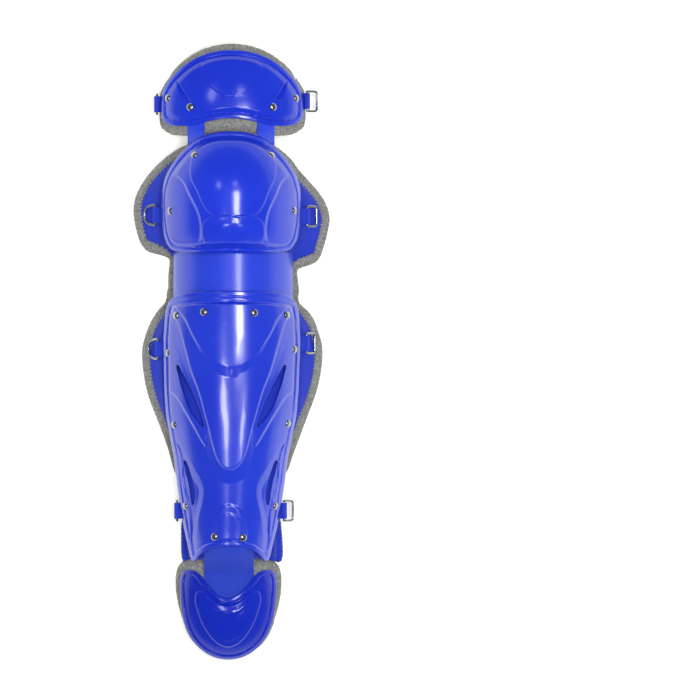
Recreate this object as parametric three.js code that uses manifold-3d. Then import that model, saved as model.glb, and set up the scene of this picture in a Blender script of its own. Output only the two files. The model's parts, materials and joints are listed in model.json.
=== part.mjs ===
// A baseball catcher's leg guard for one leg, lying on its back: thigh cap, knee cap, shin shell and
// instep guard over lined foam pads, joined by two straps, a band and a woven strip.
// Millimetres. +Y runs from the toe to the thigh, +X to the right of someone who looks at its front,
// +Z out of the front. It lies on z = 0, and the origin is under the middle of it.
import * as THREE from "three";
import { mergeVertices } from "three/addons/utils/BufferGeometryUtils.js";
import Module from "manifold-3d";

const wasm = await Module();
wasm.setup();

// Lengths along the leg
const thighMargin = 8; // pad that shows above the thigh cap
const thighLength = 86;
const kneeGap = 6;
const kneeLength = 138.5;
const bandReveal = 41; // band that shows between knee cap and shin shell
const shinLength = 306;
const toeGap = 8;
const toeLength = 103;

// Half widths of the shells, and where their middles lie across the leg
const thighHalf = 81.5;
const kneeHalf = 80;
const bandHalf = 67.3;
const shinHalf = 78.75;
const toeHalf = 55.5;
const thighMiddle = 0.9;
const bandMiddle = 2;
const shinMiddle = 1.2;
const shinLean = -2.6; // the ankle's middle lies this far to the left of the shin's top
const toeMiddle = -3.6;
const kneeTurn = 4.5; // the knee cap's crest is turned this far to the right of its edges

// Heights of the crests over the floor
const thighCrest = 68;
const kneeCrest = 113;
const bandCrest = 84;
const shinCrest = 88;
const ankleCrest = 64;
const toeCrest = 52;

// Walls and clearances
const shellWall = 3;
const shellStandoff = 3.2; // between a shell and the pad under it, where tabs and straps run
const bandWall = 2.2;
const strapWall = 1.7;
const stripWall = 1.8;
const padWall = 9;
const padRim = 8.5; // height of a pad's rim where it lies on the floor
const rimWidth = 5; // raised rim round each shell
const rimHeight = 1.8;
const gap = 0.4;

// Fastenings
const rivetHeadRadius = 4.5;
const rivetHeadHeight = 2.2;
const rivetStemRadius = 2;
const ringWire = 2.8;
const webbingWidth = 18;
const webbingWall = 1.2;
const strapWidth = 19.4;
const strapOffset = 39.5; // from the knee's middle to the middle of a hinge strap
const stripHalf = 28.4;

// Where each section starts, from the top down
const wholeLength =
  thighMargin + thighLength + kneeGap + kneeLength + bandReveal + shinLength + toeGap + toeLength;
const thighTop = wholeLength / 2 - thighMargin;
const kneeTop = thighTop - thighLength - kneeGap;
const kneeBottom = kneeTop - kneeLength;
const shinTop = kneeBottom - bandReveal;
const shinBottom = shinTop - shinLength;
const toeTop = shinBottom - toeGap;

// Small maths
const clamp = (value, low, high) => Math.min(Math.max(value, low), high);
const mix = (a, b, share) => a + (b - a) * share;

function smooth(value, from, to) {
  const share = clamp((value - from) / (to - from), 0, 1);
  return share * share * (3 - 2 * share);
}

// The larger of two values, rounded over where they are closer than the blend.
function softMax(a, b, blend) {
  const share = clamp(0.5 + (0.5 * (a - b)) / blend, 0, 1);
  return mix(b, a, share) + blend * share * (1 - share);
}

// Reads a column of a table of rows at a value of its first column, with straight lines between rows.
function readTable(rows, at, column) {
  let i = 1;
  while (i < rows.length - 1 && rows[i][0] < at) i += 1;
  const [low, high] = [rows[i - 1], rows[i]];
  return mix(low[column], high[column], clamp((at - low[0]) / (high[0] - low[0]), 0, 1));
}

// Plan points from rows of shares of a section's half width and length.
const sectionOf = (middle, half, top, length) => ({ middle, half, top, length });
const thighSection = sectionOf(thighMiddle, thighHalf, thighTop, thighLength);
const kneeSection = sectionOf(0, kneeHalf, kneeTop, kneeLength);
const shinSection = sectionOf(shinMiddle, shinHalf, shinTop, shinLength);
const toeSection = sectionOf(toeMiddle, toeHalf, toeTop, toeLength);
const placed = (section, rows) =>
  rows.map(([across, along]) => [
    section.middle + across * section.half,
    section.top - along * section.length,
  ]);
const mirrored = (rows) => [...rows, ...rows.slice(1, -1).reverse().map(([a, b]) => [-a, b])];

// How far a plan point lies inside a closed outline, negative outside it.
function depthInside(outline, x, y) {
  let nearest = Infinity;
  let inside = false;
  outline.forEach(([bx, by], i) => {
    const [ax, ay] = outline[(i || outline.length) - 1];
    if (ay > y !== by > y && x < ((bx - ax) * (y - ay)) / (by - ay) + ax) inside = !inside;
    const along = ((x - ax) * (bx - ax) + (y - ay) * (by - ay)) / ((bx - ax) ** 2 + (by - ay) ** 2);
    const share = clamp(along, 0, 1);
    nearest = Math.min(nearest, Math.hypot(x - mix(ax, bx, share), y - mix(ay, by, share)));
  });
  return inside ? nearest : -nearest;
}

// Outlines: share of the half width from the middle, share of the length from the top; left halves
const thighOutlineRows = [
  [0, 0], [-0.28, 0.03], [-0.54, 0.12], [-0.72, 0.237], [-0.896, 0.412], [-0.985, 0.57],
  [-1, 0.72], [-0.98, 0.88], [-0.9, 0.965], [-0.74, 1], [-0.5, 0.985], [-0.25, 0.93], [0, 0.905],
];
const kneeOutlineRows = [
  [0, 0], [-0.25, 0.012], [-0.464, 0.055], [-0.63, 0.13], [-0.8, 0.24], [-0.928, 0.36],
  [-0.99, 0.49], [-1, 0.61], [-0.985, 0.75], [-0.94, 0.88], [-0.837, 0.962], [-0.62, 0.99],
  [-0.3, 1], [0, 1],
];
const toeOutlineRows = [
  [0, 0.306], [-0.195, 0.27], [-0.365, 0.19], [-0.499, 0.107], [-0.61, 0.035], [-0.78, 0],
  [-0.93, 0.02], [-1, 0.107], [-1, 0.25], [-0.97, 0.42], [-0.9, 0.6], [-0.78, 0.75],
  [-0.58, 0.88], [-0.32, 0.968], [0, 1],
];
const thighPadRows = [
  [0, -0.092], [-0.41, -0.02], [-0.756, 0.195], [-0.94, 0.438], [-0.995, 0.56], [-1, 0.74],
  [-1, 0.935], [-0.963, 1.03], [-0.863, 1.1], [-0.65, 1.132], [-0.384, 1.115], [0, 1.1],
];
const toePadRows = [
  [0, -0.13], [-0.5, -0.16], [-0.66, -0.14], [-0.84, -0.11], [-0.945, -0.073], [-1.03, -0.01],
  [-1.07, 0.13], [-1.05, 0.33], [-0.987, 0.5], [-0.9, 0.65], [-0.76, 0.785], [-0.56, 0.89],
  [-0.3, 0.96], [0, 0.983],
];

// A smooth closed loop of evenly spaced plan points through an outline's rows.
function loopOf(section, rows, count) {
  const corners = placed(section, mirrored(rows)).map(([x, y]) => new THREE.Vector3(x, y, 0));
  const curve = new THREE.CatmullRomCurve3(corners, true, "centripetal");
  const points = curve.getSpacedPoints(count).slice(0, count);
  return points.map((p) => [p.x, p.y]);
}

// Forms: the height of a shell's outer face over the floor, or of a face that lies inward of it.
// A dome falls away from its peak towards its sides and its two ends.
const dome = (d) => (x, y, inward = 0) => {
  const side = 1 - ((x - d.x) / (d.across - inward)) ** 2;
  const rising = y > d.y;
  const reach = (rising ? d.up : d.down) - inward;
  const end = Math.abs((y - d.y) / reach) ** (rising ? 2 : d.power);
  const sum = side - end;
  const product = side * (1 - end);
  const left = rising ? sum : mix(sum, product, d.fullness);
  return d.base + (d.rise - inward) * Math.sqrt(Math.max(left, 0));
};
const thighForm = dome({
  x: thighMiddle, y: thighTop - 0.79 * thighLength, across: 1.03 * thighHalf,
  up: 1.16 * thighLength, down: 1.6 * thighLength, power: 2, fullness: 0, base: 8, rise: thighCrest - 8,
});
const kneeForm = dome({
  x: 0, y: kneeTop - 0.52 * kneeLength, across: 1.05 * kneeHalf,
  up: 0.69 * kneeLength, down: 0.606 * kneeLength, power: 4, fullness: 0.75, base: -2, rise: kneeCrest + 2,
});
const toeForm = dome({
  x: toeMiddle, y: toeTop - 0.39 * toeLength, across: 1.08 * toeHalf,
  up: toeLength, down: 0.64 * toeLength, power: 2, fullness: 0, base: 3, rise: toeCrest - 3,
});

// An arch is a half ellipse across the leg whose size changes along it.
const arch = (middle, across, crest, base) => (x, y, inward = 0) => {
  const side = 1 - ((x - middle(y)) / (across(y) - inward)) ** 2;
  return base + (crest(y) - base - inward) * Math.sqrt(Math.max(side, 0));
};
const bandForm = arch(() => bandMiddle, () => 1.055 * bandHalf, () => bandCrest, -2);

// Shin: share of the length from the top, half width share, height share between ankle and shin crest
const shinRows = [
  [0, 0.9, 1], [0.02, 0.945, 1], [0.06, 0.97, 1], [0.165, 0.996, 0.98], [0.25, 0.985, 0.95],
  [0.35, 0.974, 0.89], [0.454, 0.944, 0.8], [0.5, 0.905, 0.74], [0.572, 0.857, 0.64],
  [0.621, 0.82, 0.56], [0.684, 0.796, 0.46], [0.759, 0.76, 0.32], [0.841, 0.705, 0.17],
  [0.89, 0.675, 0.08], [0.949, 0.624, 0], [1, 0.585, 0.03],
];
const shinAlong = (y) => (shinTop - y) / shinLength;
const shinCentre = (y) => shinMiddle + shinLean * clamp(shinAlong(y), 0, 1.2);
const shinHalfAt = (y) => shinHalf * readTable(shinRows, shinAlong(y), 1);
const shinCrestAt = (y) => mix(ankleCrest, shinCrest, readTable(shinRows, shinAlong(y), 2));
const shinAcross = (y) => 1.08 * mix(shinHalfAt(y), 0.97 * shinHalf, 0.9 * (1 - smooth(shinAlong(y), 0, 0.1)));
const shinForm = arch(shinCentre, shinAcross, shinCrestAt, -2);

// Relief on the outer faces. Left halves again; the other side is the mirror image.
const kneeFacetRows = [
  [-0.8, 0.36], [-0.577, 0.58], [-0.464, 0.69], [-0.444, 0.843], [-0.475, 0.902], [-0.8, 0.905],
  [-0.915, 0.8], [-0.94, 0.6], [-0.92, 0.42],
];
const kneeDomeRows = [
  [0.02, 0.689], [-0.267, 0.689], [-0.366, 0.658], [-0.45, 0.589], [-0.5, 0.5], [-0.6, 0.36],
  [-0.5, 0.16], [0.02, 0.06],
];
const kneePanelRows = [
  [0.02, 0.71], [-0.36, 0.71], [-0.42, 0.75], [-0.43, 0.86], [-0.36, 0.95], [0.02, 0.955],
];
const thighHollowRows = [
  [-0.77, 0.405], [-0.69, 0.56], [-0.6, 0.7], [-0.66, 0.665], [-0.72, 0.61], [-0.76, 0.5],
];
const thighSmileRows = [
  [0.02, 0.61], [-0.12, 0.595], [-0.25, 0.52], [-0.34, 0.43], [-0.4, 0.2], [0.02, 0.1],
];
const keelRows = [
  [0.02, 0.65], [-0.091, 0.647], [-0.174, 0.619], [-0.237, 0.572], [-0.293, 0.513],
  [-0.356, 0.454], [-0.447, 0.372], [-0.57, 0.29], [-0.7, 0.2], [-0.84, 0.12], [-0.86, 0.045],
  [0.02, 0.045],
];
const railRows = [
  [-0.88, 0.33], [-0.72, 0.415], [-0.62, 0.46], [-0.5, 0.515], [-0.4, 0.56], [-0.34, 0.62],
  [-0.31, 0.69], [-0.3, 0.735], [-0.33, 0.79], [-0.42, 0.86], [-0.5, 0.96], [-0.72, 1.05],
  [-1.1, 1.05], [-1.1, 0.3],
];
const footHollowRows = [
  [-0.66, 0.61], [-0.55, 0.66], [-0.45, 0.7], [-0.41, 0.735], [-0.42, 0.77], [-0.47, 0.81],
  [-0.53, 0.85], [-0.58, 0.8], [-0.62, 0.72],
];
const upperVentRows = [
  [-0.72, 0.305], [-0.693, 0.349], [-0.639, 0.403], [-0.584, 0.436], [-0.493, 0.469],
  [-0.38, 0.5], [-0.41, 0.462], [-0.5, 0.408], [-0.59, 0.36], [-0.67, 0.318],
];
const lowerVentRows = [
  [-0.66, 0.628], [-0.6, 0.69], [-0.575, 0.735], [-0.545, 0.785], [-0.485, 0.76], [-0.5, 0.717],
  [-0.56, 0.665],
];
const toeTongueRows = [
  [0.02, 0.8], [-0.2, 0.78], [-0.4, 0.67], [-0.53, 0.52], [-0.6, 0.36], [-0.55, 0.2],
  [-0.3, 0.32], [0.02, 0.38],
];

const leftOf = (section, x) => section.middle - Math.abs(x - section.middle);
const rimAt = (depth) => rimHeight * smooth(rimWidth + 0.5 - depth, 0, 1.5);
const raised = (rows, section, x, y, edge) =>
  smooth(depthInside(placed(section, rows), leftOf(section, x), y), -edge / 2, edge / 2);

function kneeRelief(x, y, depth) {
  const across = (x / kneeHalf) ** 2;
  const turned = x - kneeTurn * Math.max(1 - across, 0);
  const body = smooth(depth, rimWidth, rimWidth + 6);
  const facet = raised(kneeFacetRows, kneeSection, turned, y, 3);
  const crown = raised(kneeDomeRows, kneeSection, turned, y, 5);
  const panel = raised(kneePanelRows, kneeSection, turned, y, 4);
  return rimAt(depth) + body * (3 * (1 - facet) + 1.5 * crown + 1.5 * panel);
}
function thighRelief(x, y, depth) {
  const body = smooth(depth, rimWidth, rimWidth + 6);
  const hollow = raised(thighHollowRows, thighSection, x, y, 2);
  const smile = raised(thighSmileRows, thighSection, x, y, 3);
  return rimAt(depth) + body * (2.4 * (1 - hollow) + 0.8 * smile);
}
function toeRelief(x, y, depth) {
  const tongue = raised(toeTongueRows, toeSection, x, y, 4);
  return rimAt(depth) + smooth(depth, rimWidth, rimWidth + 6) * 2 * tongue;
}
function shinRelief(x, y, depth) {
  const straight = x - shinCentre(y) + shinMiddle;
  const body = smooth(depth, rimWidth, rimWidth + 4);
  const keel = raised(keelRows, shinSection, straight, y, 5);
  const rail = raised(railRows, shinSection, straight, y, 4);
  const hollow = raised(footHollowRows, shinSection, straight, y, 3);
  return rimAt(depth) + body * (3.5 * keel + 2.4 * rail * (1 - hollow) * (1 - keel));
}

// The unit normal of a form at a plan point.
function normalOf(form, x, y, inward = 0) {
  const step = 0.5;
  const sx = (form(x + step, y, inward) - form(x - step, y, inward)) / (2 * step);
  const sy = (form(x, y + step, inward) - form(x, y - step, inward)) / (2 * step);
  return new THREE.Vector3(-sx, -sy, 1).normalize();
}

// A closed plate from two skins that share one net of faces; the wall follows the net's open edges.
function plate(upper, lower, faces) {
  const count = upper.length;
  const edges = new Map();
  faces.forEach(([a, b, c]) => {
    [[a, b], [b, c], [c, a]].forEach(([from, to]) => {
      if (!edges.delete(`${to},${from}`)) edges.set(`${from},${to}`, [from, to]);
    });
  });
  const index = [];
  faces.forEach(([a, b, c]) => index.push(a, b, c, count + a, count + c, count + b));
  edges.forEach(([a, b]) => index.push(a, count + a, b, b, count + a, count + b));
  const geometry = new THREE.BufferGeometry();
  const values = [...upper, ...lower].flatMap((p) => [p.x, p.y, p.z]);
  geometry.setAttribute("position", new THREE.Float32BufferAttribute(values, 3));
  geometry.setIndex(index);
  return geometry;
}

// Faces of a net of rows by columns, and of rings round a centre point.
function gridFaces(rows, columns) {
  const faces = [];
  for (let r = 0; r + 1 < rows; r += 1) {
    for (let c = 0; c + 1 < columns; c += 1) {
      const a = r * columns + c;
      faces.push([a, a + columns, a + 1], [a + 1, a + columns, a + columns + 1]);
    }
  }
  return faces;
}
function ringFaces(rings, count) {
  const faces = [];
  for (let r = 0; r < rings; r += 1) {
    for (let c = 0; c < count; c += 1) {
      const next = (c + 1) % count;
      const [a, b] = [r * count + c, r * count + next];
      if (r + 1 === rings) faces.push([a, b, rings * count]);
      else faces.push([a, b, a + count], [b, b + count, a + count]);
    }
  }
  return faces;
}

// Plan points in rings: the outline, copies of it set in by a length, then shares of the last one.
function ringPoints(outline, centre, insets, shares) {
  const moved = (depth) =>
    outline.map(([x, y], i) => {
      const [ax, ay] = outline[(i || outline.length) - 1];
      const [bx, by] = outline[(i + 1) % outline.length];
      const size = Math.hypot(bx - ax, by - ay);
      return [x - ((by - ay) / size) * depth, y + ((bx - ax) / size) * depth];
    });
  const last = moved(insets[insets.length - 1]);
  const inner = shares.map((s) => last.map(([x, y]) => [mix(centre[0], x, s), mix(centre[1], y, s)]));
  return [...insets.flatMap(moved), ...inner.flat(), centre];
}

const point = ([x, y], z) => new THREE.Vector3(x, y, z);

// A shell over rings or a grid of plan points, with its relief, its wall along the form's normal.
function shellPlate(points, faces, form, relief, outline) {
  const upper = points.map(([x, y]) => {
    const depth = Math.max(depthInside(outline, x, y), 0);
    return point([x, y], form(x, y) + relief(x, y, depth));
  });
  const lower = upper.map((p) => p.clone().addScaledVector(normalOf(form, p.x, p.y), -shellWall));
  return plate(upper, lower, faces);
}

// A pad: its rim is rounded, its inner face lies padWall under the outer one and never below the floor.
function padPlate(points, faces, height, outline) {
  const upper = [];
  const lower = [];
  points.forEach(([x, y]) => {
    const depth = Math.max(depthInside(outline, x, y), 0);
    const rounding = (1 - Math.sqrt(clamp(depth / (padWall / 2), 0, 1))) * (padWall / 2 - 1);
    const top = point([x, y], height(x, y));
    const inward = normalOf(height, x, y).multiplyScalar(-padWall);
    const reach = smooth(depth, 2, 12);
    const bottom = top.clone().add(new THREE.Vector3(inward.x * reach, inward.y * reach, 0));
    bottom.z = Math.max(top.z + mix(-padWall, inward.z, reach) + rounding, 0);
    if (top.z < padRim + 1.5) bottom.z = 0;
    top.z -= rounding;
    upper.push(top);
    lower.push(bottom);
  });
  return plate(upper, lower, faces);
}

// Booleans
function solidOf(geometry) {
  const bare = geometry.clone();
  bare.deleteAttribute("normal");
  bare.deleteAttribute("uv");
  const merged = mergeVertices(bare, 1e-4);
  const triVerts = new Uint32Array(merged.index.array);
  return new wasm.Manifold(
    new wasm.Mesh({ numProp: 3, vertProperties: merged.attributes.position.array, triVerts }),
  );
}
// The mesh of a solid's largest body: a cut can leave a sliver beside it.
function geometryOf(solid) {
  const bodies = solid.decompose().sort((a, b) => b.volume() - a.volume());
  const mesh = bodies[0].getMesh();
  const geometry = new THREE.BufferGeometry();
  geometry.setAttribute("position", new THREE.BufferAttribute(mesh.vertProperties, 3));
  geometry.setIndex(new THREE.BufferAttribute(mesh.triVerts, 1));
  return geometry;
}

// Shells
const thighLoop = loopOf(thighSection, thighOutlineRows, 26);
const kneeLoop = loopOf(kneeSection, kneeOutlineRows, 30);
const toeLoop = loopOf(toeSection, toeOutlineRows, 26);
const rimInsets = [0, rimWidth * 0.9, rimWidth + 3];

function cap(loop, centre, shares, form, relief) {
  const points = ringPoints(loop, centre, rimInsets, shares);
  const rings = rimInsets.length + shares.length;
  return shellPlate(points, ringFaces(rings, loop.length), form, relief, loop);
}
const thighShell = cap(
  thighLoop, placed(thighSection, [[0, 0.55]])[0], [0.72, 0.4], thighForm, thighRelief,
);
const kneeShell = cap(
  kneeLoop, placed(kneeSection, [[0, 0.6]])[0], [0.8, 0.6, 0.4, 0.2], kneeForm, kneeRelief,
);
const toeShell = cap(toeLoop, placed(toeSection, [[0, 0.62]])[0], [0.7, 0.38], toeForm, toeRelief);

// The shin shell is a net of rows and columns between its rounded top and its ankle arch.
const shinColumns = [0, 0.12, 0.27, 0.42, 0.56, 0.7, 0.83, 0.94, 1];
const shinRowShares = [
  0, 0.017, 0.045, 0.1, 0.17, 0.24, 0.31, 0.38, 0.45, 0.52, 0.59, 0.65, 0.71, 0.77, 0.84, 0.91,
  0.975, 1,
];
const shinTopRows = [[0, 0], [0.6, 0.004], [0.8, 0.01], [0.93, 0.02], [1, 0.035]];
const shinFootRows = [
  [0, 0.936], [0.35, 0.939], [0.54, 0.947], [0.76, 0.972], [0.87, 0.998], [0.95, 0.995], [1, 0.978],
];
const bothSides = (columns) => [...columns.slice(1).reverse().map((c) => -c), ...columns];

function shinPoint(across, share) {
  const from = readTable(shinTopRows, Math.abs(across), 1);
  const to = readTable(shinFootRows, Math.abs(across), 1);
  const y = shinTop - shinLength * mix(from, to, share);
  const half = shinHalf * readTable(shinRows, share, 1);
  return [shinCentre(y) + across * half, y];
}
const shinNet = shinRowShares.flatMap((share) => bothSides(shinColumns).map((c) => shinPoint(c, share)));
const shinLoop = [
  ...bothSides(shinColumns).map((c) => shinPoint(c, 0)),
  ...shinRowShares.slice(1, -1).map((s) => shinPoint(1, s)),
  ...bothSides(shinColumns).reverse().map((c) => shinPoint(c, 1)),
  ...shinRowShares.slice(1, -1).reverse().map((s) => shinPoint(-1, s)),
];
const shinFaces = gridFaces(shinRowShares.length, 2 * shinColumns.length - 1);
const shinPlain = shellPlate(shinNet, shinFaces, shinForm, shinRelief, shinLoop);

// A straight prism over a plan outline, for a vent.
function prism(outline, bottom, top) {
  const shape = new THREE.Shape(outline.map(([x, y]) => new THREE.Vector2(x, y)));
  const geometry = new THREE.ExtrudeGeometry(shape, { depth: top - bottom, bevelEnabled: false });
  return solidOf(geometry.translate(0, 0, bottom));
}
const ventOf = (rows, side) =>
  placed(shinSection, rows).map(([x, y]) => {
    const centre = shinCentre(y);
    return [centre + side * (x - shinMiddle), y];
  });
let shinSolid = solidOf(shinPlain);
[upperVentRows, lowerVentRows].forEach((rows) => {
  [1, -1].forEach((side) => {
    shinSolid = shinSolid.subtract(prism(ventOf(rows, side), 0, shinCrest + 20));
  });
});

// Pads. Knee wings and shin wings: station, left and right reach, height at the shell's edge, rim height;
// the reaches are shares of the shell's half width, the heights shares of its crest.
const kneePadRows = [
  [0.06, 0.31, 0.31, 0.45, 0.41], [0.1, 0.62, 0.6, 0.43, 0.37], [0.15, 0.8, 0.72, 0.41, 0.32],
  [0.22, 0.97, 0.86, 0.35, 0.23], [0.29, 1.11, 0.95, 0.29, 0.15], [0.38, 1.24, 1.09, 0.25, 0.095],
  [0.48, 1.34, 1.24, 0.23, 0.075], [0.58, 1.39, 1.34, 0.225, 0.075], [0.69, 1.39, 1.39, 0.22, 0.075],
  [0.79, 1.36, 1.37, 0.21, 0.075], [0.89, 1.31, 1.33, 0.19, 0.075], [0.965, 1.22, 1.29, 0.16, 0.075],
  [1, 1.1, 1.27, 0.13, 0.075], [1.015, 0.9, 1.26, 0.12, 0.075], [1.06, 0.89, 1.2, 0.12, 0.075],
  [1.1, 0.89, 1.05, 0.12, 0.075], [1.115, 0.89, 0.945, 0.12, 0.075],
  [(kneeLength + bandReveal - 1) / kneeLength, 0.89, 0.945, 0.12, 0.075],
];
const shinPadRows = [
  [-0.5 / shinLength, 0.92, 0.94, 0.14, 0.097], [0.035, 0.955, 0.97, 0.17, 0.097], [0.07, 1.07, 1.11, 0.21, 0.097],
  [0.105, 1.16, 1.2, 0.25, 0.097], [0.14, 1.22, 1.25, 0.27, 0.097], [0.2, 1.29, 1.31, 0.28, 0.097],
  [0.255, 1.295, 1.31, 0.28, 0.097], [0.33, 1.26, 1.27, 0.27, 0.097], [0.405, 1.185, 1.19, 0.26, 0.097],
  [0.47, 1.09, 1.09, 0.25, 0.097], [0.535, 0.99, 0.99, 0.24, 0.097], [0.595, 0.91, 0.9, 0.22, 0.097],
  [0.66, 0.835, 0.81, 0.2, 0.097], [0.7, 0.76, 0.74, 0.19, 0.097], [0.78, 0.7, 0.69, 0.19, 0.097],
  [0.835, 0.69, 0.68, 0.19, 0.097], [0.86, 0.72, 0.7, 0.19, 0.097], [0.92, 0.72, 0.72, 0.17, 0.097],
  [0.975, 0.71, 0.72, 0.15, 0.097],
];
const flatRim = 6; // width of a wing's rim that lies flat

function wingHeight(rows, section, crest, edge, x, y) {
  const along = (section.top - y) / section.length;
  const side = x < 0 ? 1 : 2;
  const reach = section.half * readTable(rows, along, side);
  const root = crest * readTable(rows, along, 3);
  const rim = crest * readTable(rows, along, 4);
  const run = Math.max(reach - flatRim - edge, 4);
  const out = reach - flatRim - Math.abs(x);
  return rim + Math.max(0, root - rim) * clamp(out / run, 0, 1);
}
const kneeEdge = (y) => {
  const along = (kneeTop - y) / kneeLength;
  const rows = kneeOutlineRows.slice(1, 11).map(([across, at]) => [at, -across]);
  return along > 0.98 ? bandHalf : kneeHalf * readTable(rows, along, 1);
};
function kneePadHeight(x, y) {
  const along = (kneeTop - y) / kneeLength;
  const knee = kneeForm(x, y, shellWall + shellStandoff);
  const band = bandForm(x, y, bandWall + 2 * gap);
  const body = mix(knee, band, smooth(along, 0.86, 0.955));
  return softMax(body, wingHeight(kneePadRows, kneeSection, kneeCrest, kneeEdge(y), x, y), 3);
}
function shinPadHeight(x, y) {
  const along = shinAlong(y);
  const shin = shinForm(x, y, shellWall + shellStandoff);
  const band = bandForm(x, y, bandWall + 2 * gap);
  const body = mix(band, shin, smooth(along, 0.035, 0.06));
  const wing = wingHeight(shinPadRows, shinSection, shinCrest, shinHalfAt(y), x, y);
  return softMax(body, wing, 3);
}
// Columns of a pad's net: shares of the way to the shell's edge, then 1 plus shares of the way to its own.
const padColumns = [0, 0.4, 0.75, 1, 1.5, 2];
function padNet(rows, section, edgeAt, bottomBow) {
  return rows.flatMap(([along, left, right], i) =>
    bothSides(padColumns).map((column) => {
      const y = section.top - along * section.length;
      const reach = section.half * (column < 0 ? left : right);
      const root = Math.min(0.98 * edgeAt(y), 0.85 * reach);
      const c = Math.abs(column);
      const x = Math.sign(column) * (c < 1 ? c * root : mix(root, reach, c - 1));
      const bow = i === rows.length - 1 ? bottomBow * (1 - (x / reach) ** 2) * section.length : 0;
      return [x, y + bow];
    }),
  );
}
function netLoop(points, rows, columns) {
  const at = (r, c) => points[r * columns + c];
  const range = (n) => [...Array(n).keys()];
  return [
    ...range(columns).map((c) => at(0, c)),
    ...range(rows).slice(1, -1).map((r) => at(r, columns - 1)),
    ...range(columns).reverse().map((c) => at(rows - 1, c)),
    ...range(rows).slice(1, -1).reverse().map((r) => at(r, 0)),
  ];
}
function netPad(rows, section, edgeAt, height, bottomBow) {
  const columns = 2 * padColumns.length - 1;
  const points = padNet(rows, section, edgeAt, bottomBow);
  const loop = netLoop(points, rows.length, columns);
  return padPlate(points, gridFaces(rows.length, columns), height, loop);
}
const kneePad = netPad(kneePadRows, kneeSection, kneeEdge, kneePadHeight, 0);
const shinPad = netPad(shinPadRows, shinSection, shinHalfAt, shinPadHeight, 0.025);

const padInsets = [0, 4, 10];
function ringPad(section, rows, count, centre, shares, form) {
  const loop = loopOf(section, rows, count);
  const points = ringPoints(loop, placed(section, [centre])[0], padInsets, shares);
  const height = (x, y) => softMax(form(x, y, shellWall + shellStandoff), padRim, 2);
  return padPlate(points, ringFaces(padInsets.length + shares.length, count), height, loop);
}
const thighPad = ringPad(thighSection, thighPadRows, 24, [0, 0.6], [0.7, 0.4], thighForm);
const toePad = ringPad(toeSection, toePadRows, 24, [0, 0.4], [0.7, 0.4], toeForm);

// A strap follows one form down to a station, runs straight to a station on the next, and follows that.
function bridge(formA, formB, from, to, inward) {
  return (x, y) => {
    const share = clamp((from - y) / (from - to), 0, 1);
    return mix(formA(x, Math.max(y, from), inward), formB(x, Math.min(y, to), inward), share);
  };
}
function strapPlate(xs, ys, height, wall) {
  const upper = ys.flatMap((y) => xs.map((x) => point([x, y], height(x, y))));
  const lower = upper.map((p) => p.clone().addScaledVector(normalOf(height, p.x, p.y), -wall));
  return plate(upper, lower, gridFaces(ys.length, xs.length));
}
const steps = (from, to, count) => [...Array(count + 1).keys()].map((i) => mix(from, to, i / count));

const strapInward = shellWall + (shellStandoff - strapWall) / 2;
const strapTop = thighTop - 0.87 * thighLength;
const strapBottom = kneeTop - 0.2 * kneeLength;
const strapHeight = bridge(
  thighForm, kneeForm, thighTop - 0.98 * thighLength, kneeTop - 0.085 * kneeLength, strapInward,
);
const strapAt = (side, margin) => {
  const middle = side * strapOffset;
  const half = strapWidth / 2 + margin;
  const raisedHeight = (x, y) => strapHeight(x, y) + margin;
  const ys = steps(strapTop + margin, strapBottom - margin, 7);
  return strapPlate(steps(middle - half, middle + half, 2), ys, raisedHeight, strapWall + 2 * margin);
};

const bandTop = kneeBottom + 0.022 * kneeLength;
const bandBottom = shinTop - 0.028 * shinLength;
const bandColumns = [-1, -0.94, -0.84, -0.7, -0.52, -0.32, -0.11, 0.11, 0.32, 0.52, 0.7, 0.84, 0.94, 1];
const bandXs = bandColumns.map((c) => bandMiddle + c * bandHalf);
const bandYs = steps(bandTop, bandBottom, 2);
const kneeBand = strapPlate(bandXs, bandYs, bandForm, bandWall);
const bandRoom = strapPlate(
  bandXs.map((x) => x * (1 + gap / bandHalf)), [bandTop + gap, bandBottom - gap],
  (x, y) => bandForm(x, y) + gap, bandWall + 2 * gap,
);

const stripInward = shellWall + (shellStandoff - stripWall) / 2;
const stripTop = shinTop - 0.915 * shinLength;
const stripBottom = toeTop - 0.38 * toeLength;
const stripHeight = bridge(
  shinForm, toeForm, shinTop - 0.96 * shinLength, toeTop - 0.06 * toeLength, stripInward,
);
const ankleStrip = strapPlate(
  steps(toeMiddle - stripHalf + 1, toeMiddle + stripHalf + 1, 8),
  steps(stripTop, stripBottom, 6), stripHeight, stripWall,
);

// Rivets: form, relief, section, share across, share along, whether the stem passes a webbing tab
const rivetSeat = 0.3;
const rivetRows = {
  thigh: [[-0.89, 0.629], [-0.572, 0.755], [0.572, 0.755], [0.89, 0.629]],
  knee: [[-0.502, 0.197], [0.577, 0.197], [-0.856, 0.647], [0.893, 0.643]],
  shin: [
    [-0.797, 0.09], [-0.391, 0.078], [0.329, 0.081], [0.789, 0.089], [-0.91, 0.228],
    [0.903, 0.215], [-0.816, 0.492], [0.817, 0.488], [-0.645, 0.792], [0.645, 0.792],
    [-0.215, 0.903], [0.19, 0.906],
  ],
};
const shellsByName = {
  thigh: { section: thighSection, form: thighForm, relief: thighRelief, loop: thighLoop },
  knee: { section: kneeSection, form: kneeForm, relief: kneeRelief, loop: kneeLoop },
  shin: { section: shinSection, form: shinForm, relief: shinRelief, loop: shinLoop },
};

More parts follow.
